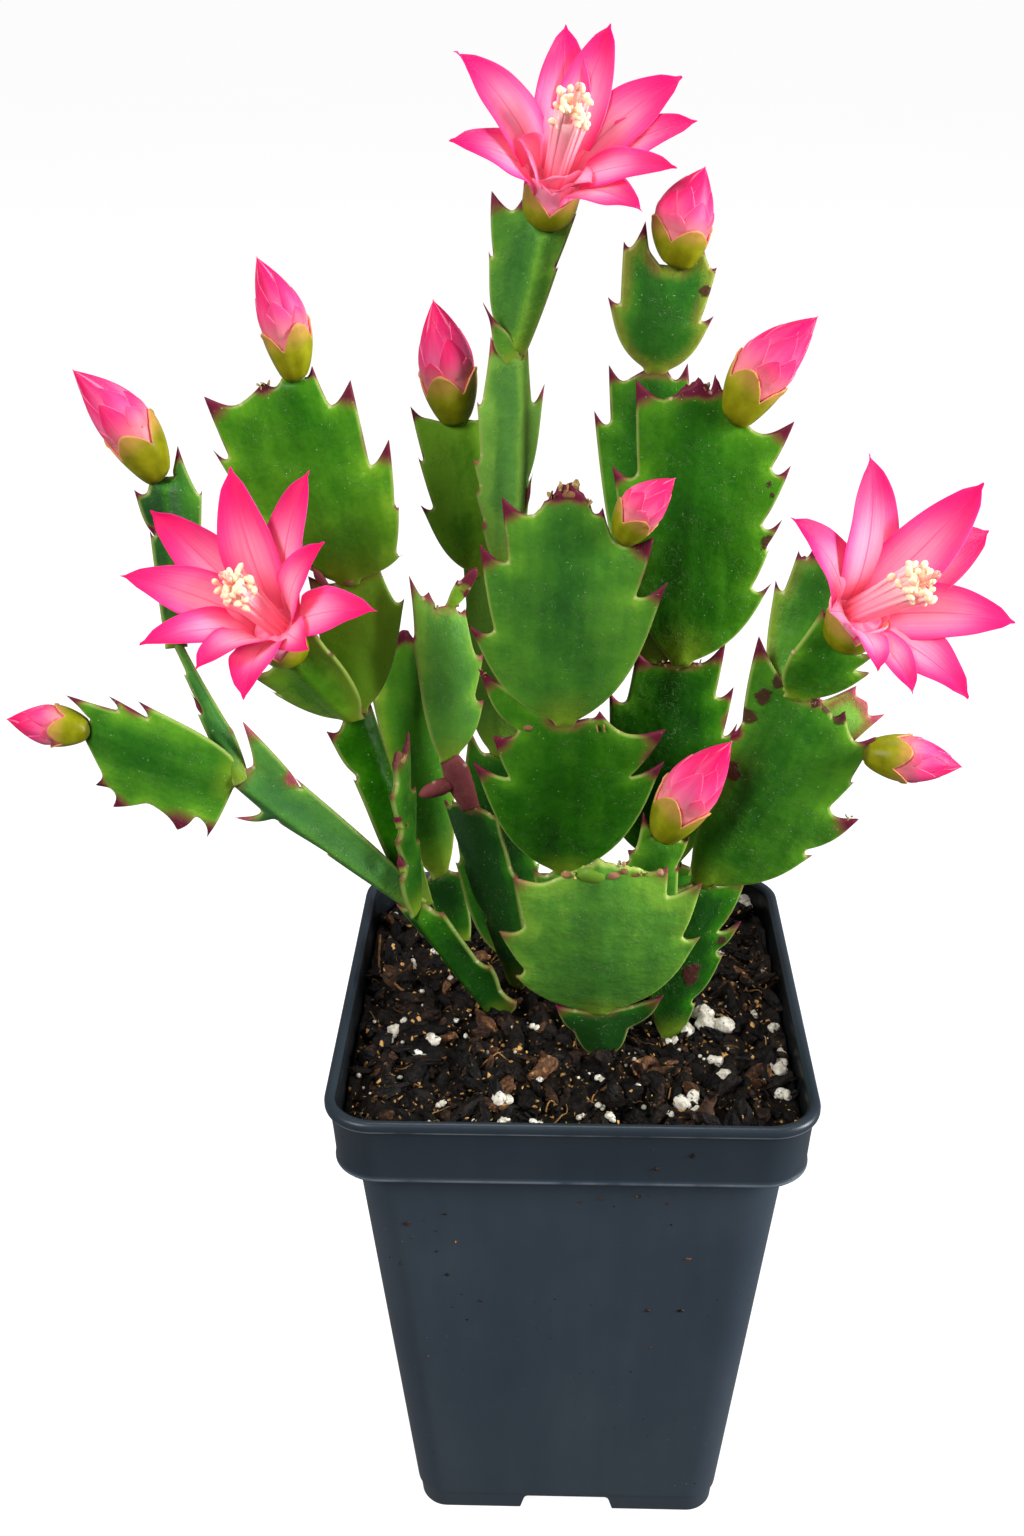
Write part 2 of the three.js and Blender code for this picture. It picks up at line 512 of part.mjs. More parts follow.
// a flat segment with its teeth; grow makes it larger all round, for the space that it needs in a neighbour
function segmentSolid(name, grow = 0) {
  const frame = frameOf(name);
  const { segment } = frame;
  const halfWidth = segment.width / 2;
  const neck = Math.min(JOINT_HALF_WIDTH / halfWidth, NARROW_NECK);
  const outlines = [segment.left, segment.right].map((teeth) => sideOutline(teeth, neck));
  const starts = outlines.map((outline) => rowStarts(outline, halfWidth / segment.length));
  const sides = outlines.map((outline) => (
    grow > 0 ? widened(outline, grow, segment.length, halfWidth) : outline
  ));
  const midShares = [...new Set([...starts[0], ...starts[1]])].sort((a, b) => a - b);
  const sunk = (segment.root ? ROOT_DEPTH : SEAT_DEPTH) + grow;
  const tipShare = 1 + grow / segment.length;
  const rise = (segment.thickness ?? STEM_THICKNESS) / 2 + grow;
  const edge = MARGIN_THICKNESS / 2 + grow;
  const points = [];
  const put = (share, side, height) => {
    points.push(place(frame, share <= 0 ? -sunk / segment.length : share, side, height));
    return points.length - 1;
  };
  const taper = (share) => lerp(0.8, 1, Math.sin(Math.PI * clamp(share, 0, 1)));
  const keel = segment.keel ?? 0;
  const midrib = (side) => midShares.map((share) => (
    put(share === 1 ? tipShare : share, 0, side * (rise + (side > 0 ? keel : 0)) * taper(share))
  ));
  const [front, back] = [midrib(1), midrib(-1)];
  const triangles = [];
  const rims = sides.map((outline, s) => {
    const hand = s === 0 ? -1 : 1;
    const shares = starts[s];
    const rim = [edge, -edge].map((height) => (
      outline.map(([share, out]) => put(share, hand * out * halfWidth, height))
    ));
    const flat = outlines[s].map(([share, out]) => new THREE.Vector2(out * halfWidth, share * segment.length));
    const { rows, tips } = toothTips(flat, shares.map((share) => share * segment.length));
    [front, back].forEach((middle, face) => {
      const flip = (hand < 0) !== (face > 0);
      const kept = rows.map((i) => rim[face][i]);
      triangles.push(...stitch(middle, midShares, kept, rows.map((i) => shares[i]), flip));
      for (const tip of tips) {
        const [a, b, c] = tip.map((i) => rim[face][i]);
        triangles.push(flip ? [a, c, b] : [a, b, c]);
      }
    });
    for (let i = 0; i < outline.length - 1; i += 1) {
      const quad = [rim[0][i], rim[1][i], rim[1][i + 1], rim[0][i + 1]];
      if (hand < 0) quad.reverse();
      triangles.push([quad[0], quad[1], quad[2]], [quad[0], quad[2], quad[3]]);
    }
    return rim;
  });
  const last = (list) => list[list.length - 1];
  const [[leftFront, leftBack], [rightFront, rightBack]] = rims;
  const footLoop = [front[0], leftFront[0], leftBack[0], back[0], rightBack[0], rightFront[0]];
  const tipLoop = [
    last(front), last(rightFront), last(rightBack), last(back), last(leftBack), last(leftFront),
  ];
  for (const loop of [footLoop, tipLoop]) {
    for (let i = 1; i < loop.length - 1; i += 1) triangles.push([loop[0], loop[i], loop[i + 1]]);
  }
  return solidFrom(points, triangles);
}

// The plant's stems

const spaces = new Map();

// the space that a segment needs in its neighbours
function spaceOf(name) {
  if (!spaces.has(name)) spaces.set(name, segmentSolid(name, GAP).add(segmentSolid(name)));
  return spaces.get(name);
}

function stemSolid(names) {
  return largest(names.map((name) => segmentSolid(name)).reduce((stem, segment) => stem.add(segment)));
}

// Round pieces: buds, ovaries and tubes, made of rings about a line

const ROUND_STEPS = 12;

// rings: [millimetres along, radius], pointed or flat at both ends; wave bends and swells each ring
// and bend moves the line on which the ring's centre lies
function ringed(foot, axis, rings, wave = () => [0, 1], steps = ROUND_STEPS, bend = () => 0) {
  const side = new THREE.Vector3(1, 0, 0).addScaledVector(axis, -axis.x).normalize();
  const other = new THREE.Vector3().crossVectors(axis, side);
  const upward = new THREE.Vector3(0, 0, 1).addScaledVector(axis, -axis.z).normalize();
  const centre = (along) => foot.clone().addScaledVector(axis, along).addScaledVector(upward, bend(along));
  const points = [];
  const triangles = [];
  const rows = rings.map(([along, radius], row) => {
    const indices = [];
    for (let k = 0; k < steps; k += 1) {
      const angle = (2 * Math.PI * k) / steps;
      const [shift, swell] = wave(angle, row);
      points.push(centre(along)
        .addScaledVector(axis, shift)
        .addScaledVector(side, Math.cos(angle) * radius * swell)
        .addScaledVector(other, Math.sin(angle) * radius * swell));
      indices.push(points.length - 1);
    }
    return indices;
  });
  for (let row = 0; row < rows.length - 1; row += 1) {
    for (let k = 0; k < steps; k += 1) {
      const next = (k + 1) % steps;
      triangles.push([rows[row][k], rows[row][next], rows[row + 1][next]]);
      triangles.push([rows[row][k], rows[row + 1][next], rows[row + 1][k]]);
    }
  }
  points.push(centre(rings[0][0]));
  const footCentre = points.length - 1;
  points.push(centre(rings[rings.length - 1][0]));
  const tipCentre = points.length - 1;
  const top = rows[rows.length - 1];
  for (let k = 0; k < steps; k += 1) {
    const next = (k + 1) % steps;
    triangles.push([footCentre, rows[0][next], rows[0][k]]);
    triangles.push([tipCentre, top[k], top[next]]);
  }
  return solidFrom(points, triangles);
}

// a bud's radius at a share of its length
function budRadius(share, width) {
  const widest = 0.4;
  const half = width / 2;
  if (share < widest) return half * (0.36 + 0.64 * Math.sin((Math.PI / 2) * (share / widest)) ** 0.8);
  return half * (1 - ((share - widest) / (1 - widest)) ** 1.7) + 0.25;
}

const CUP_SCALLOPS = 4;
const SCALLOP_HEIGHT = 1.3;

function budSolids({ on, seat, length, width, lean, toward, bow = 0 }) {
  const axis = direction(lean, toward);
  const bend = (along) => bow * 4 * (along / length) * (1 - along / length);
  const foot = seatPoint(on, seat);
  const rim = BUD_CUP_SHARE * length;
  const scallop = (angle) => SCALLOP_HEIGHT * Math.cos(CUP_SCALLOPS * angle);
  const cupShares = [0, 0.05, 0.14, 0.25, BUD_CUP_SHARE];
  const cupRings = cupShares.map((share) => [share * length, budRadius(share, width)]);
  const cupWave = (angle, row) => [row === cupRings.length - 1 ? scallop(angle) : 0, 1];
  const cup = ringed(foot, axis, cupRings, cupWave, ROUND_STEPS, bend);
  const petalShares = [0, 0.13, 0.3, 0.5, 0.7, 0.87, 1];
  const petalRings = petalShares.map((share) => {
    const along = lerp(rim + GAP, length, share);
    return [along, budRadius(along / length, width) * 0.96];
  });
  const petalWave = (angle, row) => [
    row === 0 ? scallop(angle) : 0,
    1 + (row > 0 && row < 5 ? 0.05 * Math.cos(3 * angle + row * Math.PI) : 0),
  ];
  const petals = ringed(foot, axis, petalRings, petalWave, ROUND_STEPS, bend);
  return { cup: largest(cup.subtract(spaceOf(on))), petals };
}

// Blooms

// a petal from the tube to its tip, cupped across, thin and pointed
function petalSolid(foot, tip, inward, width) {
  const stations = 4;
  const along = tip.clone().sub(foot);
  const length = along.length();
  along.normalize();
  const front = inward.clone().addScaledVector(along, -inward.dot(along)).normalize();
  const across = new THREE.Vector3().crossVectors(along, front);
  const points = [];
  const rows = [];
  for (let i = 0; i <= stations; i += 1) {
    const t = i / stations;
    const half = (width / 2) * Math.sin(Math.PI * lerp(0.22, 0.985, t) ** 1.05) ** 0.8;
    const arch = length * 0.09 * 4 * t * (1 - t) - length * 0.05 * t ** 4;
    const row = [];
    for (const [side, cup] of [[-1, 0.22], [0, 0], [1, 0.22]]) {
      for (const face of [1, -1]) {
        points.push(foot.clone()
          .addScaledVector(along, t * length)
          .addScaledVector(across, side * half)
          .addScaledVector(front, arch + cup * half + (face * PETAL_THICKNESS) / 2));
        row.push(points.length - 1);
      }
    }
    rows.push(row);
  }
  const triangles = [];
  const quad = (a, b, c, d) => triangles.push([a, b, c], [a, c, d]);
  for (let i = 0; i < stations; i += 1) {
    const [a, b] = [rows[i], rows[i + 1]];
    quad(a[0], a[2], b[2], b[0]);
    quad(a[2], a[4], b[4], b[2]);
    quad(a[1], b[1], b[3], a[3]);
    quad(a[3], b[3], b[5], a[5]);
    quad(a[0], b[0], b[1], a[1]);
    quad(a[4], a[5], b[5], b[4]);
  }
  const [first, end] = [rows[0], rows[stations]];
  quad(first[0], first[1], first[3], first[2]);
  quad(first[2], first[3], first[5], first[4]);
  quad(end[0], end[2], end[3], end[1]);
  quad(end[2], end[4], end[5], end[3]);
  return solidFrom(points, triangles);
}

const OVARY_HEIGHT = 6.2;
const OVARY_RADIUS = 5.4;
const TUBE_RADIUS = 4.2;
const PETAL_RING = 3.3; // how far from the flower's line the petals start
const COLUMN_RISE = 0.9; // the column of filaments starts this far above the throat
const THROAT_RISE = 1.1; // the tube's rounded top inside the whorl

function bloomSolids(bloom) {
  const { on, tube, petals } = bloom;
  const axis = direction(bloom.lean, bloom.toward);
  const tubeAxis = direction(bloom.tubeLean, bloom.tubeToward);
  const foot = seatPoint(on, [1, 0, 0]);
  const throat = foot.clone().addScaledVector(tubeAxis, tube);
  const up = new THREE.Vector3(0, 0, 1).addScaledVector(axis, -axis.z).normalize();
  const right = new THREE.Vector3().crossVectors(up, axis).negate();
  if (right.x < 0) right.negate();
  const ovaryRings = [[0, 2.4], [0.6, 3.6], [2.2, 4.9], [4.6, OVARY_RADIUS], [OVARY_HEIGHT, OVARY_RADIUS - 0.4]];
  const scallop = (angle) => 0.9 * Math.cos(3 * angle);
  const ovary = ringed(foot, tubeAxis, ovaryRings, (angle, row) => [row === 4 ? scallop(angle) : 0, 1]);
  const tubeRings = [[OVARY_HEIGHT + GAP, OVARY_RADIUS - 0.7], [tube + 0.6, TUBE_RADIUS], [tube + THROAT_RISE, 2.2]];
  let whorl = ringed(foot, tubeAxis, tubeRings, (angle, row) => [row === 0 ? scallop(angle) : 0, 1]);
  for (const [turn, opening, length, width] of petals) {
    const outward = up.clone().multiplyScalar(Math.cos(degrees(turn)))
      .addScaledVector(right, Math.sin(degrees(turn)));
    const reach = axis.clone().multiplyScalar(Math.cos(degrees(opening)))
      .addScaledVector(outward, Math.sin(degrees(opening)));
    const tip = throat.clone().addScaledVector(reach, length);
    const start = throat.clone().addScaledVector(axis, -0.6).addScaledVector(outward, PETAL_RING);
    whorl = whorl.add(petalSolid(start, tip, axis, width));
  }
  const columnFoot = throat.clone().addScaledVector(tubeAxis, THROAT_RISE + GAP).addScaledVector(axis, COLUMN_RISE);
  return {
    ovary: largest(ovary.subtract(spaceOf(on))),
    petals: largest(whorl),
    stamens: columnSolid(columnFoot, direction(bloom.columnLean, bloom.columnToward), bloom.column),
  };
}

// the bundle of filaments with its anthers, and the style with its stigma
function columnSolid(foot, axis, length) {
  const side = new THREE.Vector3(1, 0, 0).addScaledVector(axis, -axis.x).normalize();
  const other = new THREE.Vector3().crossVectors(axis, side);
  const bundleRings = [[0, 1.5], [1.2, 1.9], [length * 0.62, 2.4], [length * 0.7, 2]];
  let solid = ringed(foot, axis, bundleRings, undefined, 8);
  solid = solid.add(ringed(foot, axis, [[length * 0.5, 0.7], [length * 1.13, 0.6]], undefined, 6));
  const blobs = [[length * 1.14, 0, 0, 1.2]];
  const anthers = 9;
  for (let i = 0; i < anthers; i += 1) {
    const angle = i * 2.4;
    const out = i % 2 ? 2.6 : 1.7;
    blobs.push([length * (0.66 + 0.3 * (i / anthers)), Math.cos(angle) * out, Math.sin(angle) * out, 1.15]);
  }
  for (const [along, x, y, radius] of blobs) {
    const centre = foot.clone().addScaledVector(axis, along).addScaledVector(side, x).addScaledVector(other, y);
    const blob = new THREE.OctahedronGeometry(radius, 0);
    blob.translate(centre.x, centre.y, centre.z);
    solid = solid.add(solidOf(blob));
    if (along < length) {
      const root = foot.clone().addScaledVector(axis, length * 0.55);
      const stalk = centre.clone().sub(root);
      const reach = stalk.length();
      solid = solid.add(ringed(root, stalk.normalize(), [[0, 0.45], [reach, 0.45]], undefined, 4));
    }
  }
  return largest(solid);
}

// The pot

const CORNER_STEPS = 4;

// a square ring with rounded corners
function squareRing(halfWidth, radius, z) {
  const ring = [];
  for (let corner = 0; corner < 4; corner += 1) {
    for (let i = 0; i <= CORNER_STEPS; i += 1) {
      const angle = (Math.PI / 2) * (corner + i / CORNER_STEPS);
      const turned = (Math.PI / 2) * (corner + 0.5);
      const cx = Math.sign(Math.cos(turned)) * (halfWidth - radius);
      const cy = Math.sign(Math.sin(turned)) * (halfWidth - radius);
      ring.push(new THREE.Vector3(cx + radius * Math.cos(angle), cy + radius * Math.sin(angle), z));
    }
  }
  return ring;
}

// a solid between square rings, closed flat at the bottom and top
function lofted(sections) {
  const rings = sections.map(([z, halfWidth, radius]) => squareRing(halfWidth, radius, z));
  const count = rings[0].length;
  const points = rings.flat();
  const triangles = [];
  for (let row = 0; row < rings.length - 1; row += 1) {
    for (let k = 0; k < count; k += 1) {
      const next = (k + 1) % count;
      const low = row * count;
      const high = low + count;
      triangles.push([low + k, low + next, high + next], [low + k, high + next, high + k]);
    }
  }
  for (let k = 1; k < count - 1; k += 1) {
    const top = (rings.length - 1) * count;
    triangles.push([0, k + 1, k], [top, top + k, top + k + 1]);
  }
  return solidFrom(points, triangles);
}

function box(x, y, z0, z1) {
  const geometry = new THREE.BoxGeometry(x, y, z1 - z0);
  geometry.translate(0, 0, (z0 + z1) / 2);
  return solidOf(geometry);
}

// half the width of the pot's body at a height
const bodyHalf = (z) => lerp(BASE_WIDTH, BODY_TOP_WIDTH, z / (POT_HEIGHT - BAND_HEIGHT)) / 2;
const bandFoot = POT_HEIGHT - BAND_HEIGHT;
const floorTop = FOOT_HEIGHT + FLOOR_THICKNESS;

function potSolid() {
  const outer = lofted([
    [0, bodyHalf(0), 6],
    [5.6, bodyHalf(5.6), 6.4],
    [6, bodyHalf(6) + 0.4, 6.6],
    [bandFoot, bodyHalf(bandFoot) + 0.2, 8.4],
    [bandFoot + 0.6, BAND_FOOT_WIDTH / 2, 9.6],
    [POT_HEIGHT - 2.6, RIM_WIDTH / 2 - 0.9, 10],
    [POT_HEIGHT - 2, RIM_WIDTH / 2, 10.4],
    [POT_HEIGHT - 0.5, RIM_WIDTH / 2, 10.4],
    [POT_HEIGHT, RIM_WIDTH / 2 - 0.6, 10],
  ]);
  const hollow = lofted([
    [floorTop, bodyHalf(floorTop) - WALL, 5.4],
    [bandFoot, bodyHalf(bandFoot) - WALL, 7.4],
    [bandFoot + 2, BAND_FOOT_WIDTH / 2 - WALL, 8.6],
    [POT_HEIGHT - 2.6, RIM_WIDTH / 2 - LIP, 8.6],
    [POT_HEIGHT + 1, RIM_WIDTH / 2 - LIP, 8.6],
  ]);
  const pad = new THREE.CylinderGeometry(CENTRE_PAD_RADIUS, CENTRE_PAD_RADIUS, FOOT_HEIGHT + 1, 24);
  pad.rotateX(Math.PI / 2);
  pad.translate(0, 0, (FOOT_HEIGHT + 1) / 2);
  const cross = box(NOTCH_WIDTH, BASE_WIDTH + 10, -1, FOOT_HEIGHT).add(box(BASE_WIDTH + 10, NOTCH_WIDTH, -1, FOOT_HEIGHT));
  let solid = outer.subtract(hollow).subtract(cross).add(solidOf(pad));
  const drain = new THREE.CylinderGeometry(3, 3, 6, 12);
  drain.rotateX(Math.PI / 2);
  for (const [x, y] of [[1, 0], [-1, 0], [0, 1], [0, -1]]) {
    const hole = drain.clone();
    hole.translate(x * 21, y * 21, FOOT_HEIGHT + 1);
    solid = solid.subtract(solidOf(hole));
  }
  return solid;
}

// The potting mix

// the height of the lumps at a place
function lumps(x, y) {
  return SOIL_RELIEF * (
    0.5 * Math.sin(x * 0.31 + 1.3 * Math.sin(y * 0.17))
    + 0.35 * Math.sin(y * 0.43 + 2.1 * Math.cos(x * 0.23))
    + 0.3 * Math.sin(x * 0.71 + y * 0.57)
  );
}

function soilSolid() {
  const sides = [
    [floorTop + GAP, bodyHalf(floorTop) - WALL - GAP, 5.4],
    [bandFoot, bodyHalf(bandFoot) - WALL - GAP, 7.4],
    [bandFoot + 2, BAND_FOOT_WIDTH / 2 - WALL - GAP - 0.2, 8.6],
    [SOIL_LEVEL - 1, BAND_FOOT_WIDTH / 2 - WALL - GAP, 8.6],
  ];
  const rings = sides.map(([z, halfWidth, radius]) => squareRing(halfWidth, radius, z));
  const rim = rings[rings.length - 1];
  for (const share of [0.96, 0.86, 0.74, 0.6, 0.45, 0.3, 0.15]) {
    rings.push(rim.map((p) => new THREE.Vector3(
      p.x * share,
      p.y * share,
      SOIL_LEVEL + lumps(p.x * share, p.y * share),
    )));
  }
  const count = rim.length;
  const points = rings.flat();
  const triangles = [];
  for (let row = 0; row < rings.length - 1; row += 1) {
    for (let k = 0; k < count; k += 1) {
      const next = (k + 1) % count;
      const low = row * count;
      const high = low + count;
      triangles.push([low + k, low + next, high + next], [low + k, high + next, high + k]);
    }
  }
  points.push(new THREE.Vector3(0, 0, SOIL_LEVEL + lumps(0, 0)));
  const centre = points.length - 1;
  const inner = (rings.length - 1) * count;
  for (let k = 0; k < count; k += 1) triangles.push([centre, inner + k, inner + ((k + 1) % count)]);
  for (let k = 1; k < count - 1; k += 1) triangles.push([0, k + 1, k]);
  let solid = solidFrom(points, triangles);
  for (const [name, segment] of Object.entries(SEGMENTS)) {
    if (segment.root) solid = solid.subtract(spaceOf(name));
  }
  return largest(solid);
}

// The object

const plant = new THREE.Group();
plant.add(meshOf('pot', potSolid(), SLATE_PLASTIC));
plant.add(meshOf('soil', soilSolid(), DARK_SOIL));
for (const [name, segments] of Object.entries(STEMS)) plant.add(meshOf(name, stemSolid(segments), GREEN));
for (const [name, bud] of Object.entries(BUDS)) {
  const { cup, petals } = budSolids(bud);
  plant.add(meshOf(`${name}_cup`, cup, CUP_GREEN));
  plant.add(meshOf(`${name}_petals`, petals, PINK));
}
for (const [name, bloom] of Object.entries(BLOOMS)) {
  const { ovary, petals, stamens } = bloomSolids(bloom);
  plant.add(meshOf(`${name}_ovary`, ovary, CUP_GREEN));
  plant.add(meshOf(`${name}_petals`, petals, PINK));
  plant.add(meshOf(`${name}_stamens`, stamens, CREAM));
}

export default plant;
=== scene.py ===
"""The looks of a flat-stemmed holiday cactus in bloom, standing in a square nursery pot.

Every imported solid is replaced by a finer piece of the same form. Tables and shapes are in millimetres and
degrees, and each piece is cast in metres. The viewer stands at -Y. Painted point values carry the masks that
the finishes read.
"""

import math

import bmesh
import bpy
import numpy as np
from mathutils import Matrix, Vector, noise
from mathutils.geometry import delaunay_2d_cdt


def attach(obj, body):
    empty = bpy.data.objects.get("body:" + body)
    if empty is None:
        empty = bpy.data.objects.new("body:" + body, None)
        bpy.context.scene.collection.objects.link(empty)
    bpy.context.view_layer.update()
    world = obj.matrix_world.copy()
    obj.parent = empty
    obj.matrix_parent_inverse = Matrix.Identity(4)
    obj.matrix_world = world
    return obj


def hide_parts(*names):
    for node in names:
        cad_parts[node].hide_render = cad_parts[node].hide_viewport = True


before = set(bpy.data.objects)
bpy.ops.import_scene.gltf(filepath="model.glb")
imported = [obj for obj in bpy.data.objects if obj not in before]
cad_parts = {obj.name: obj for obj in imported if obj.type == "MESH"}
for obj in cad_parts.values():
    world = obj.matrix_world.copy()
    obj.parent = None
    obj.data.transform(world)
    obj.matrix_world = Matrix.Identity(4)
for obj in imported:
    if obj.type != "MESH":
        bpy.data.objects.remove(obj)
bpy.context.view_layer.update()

MM = 0.001

# ---------------------------------------------------------------- sizes and growth tables

POT_HEIGHT = 126
RIM_WIDTH = 100
BAND_HEIGHT = 15.9
BAND_FOOT_WIDTH = 96.8
RIM_CORNER = 10
SOIL_CORNER = 8.6
BODY_TOP_WIDTH = 88.6
BASE_WIDTH = 68.7
WALL = 1.3
LIP = 2.4
FOOT_HEIGHT = 3.5
NOTCH_WIDTH = 20
NOTCH_HEIGHT = 4.8
NOTCH_INSIDE = 2.4
FLOOR_THICKNESS = 1.6
PAD_RADIUS = 9
BAND_FOOT = POT_HEIGHT - BAND_HEIGHT
FLOOR_TOP = FOOT_HEIGHT + FLOOR_THICKNESS
SOIL_LEVEL = 118.6

STEM_THICKNESS = 3.2
MARGIN_THICKNESS = 1
NECK = 2.2
NARROW_NECK = 0.6
CUP_SHARE = 0.36

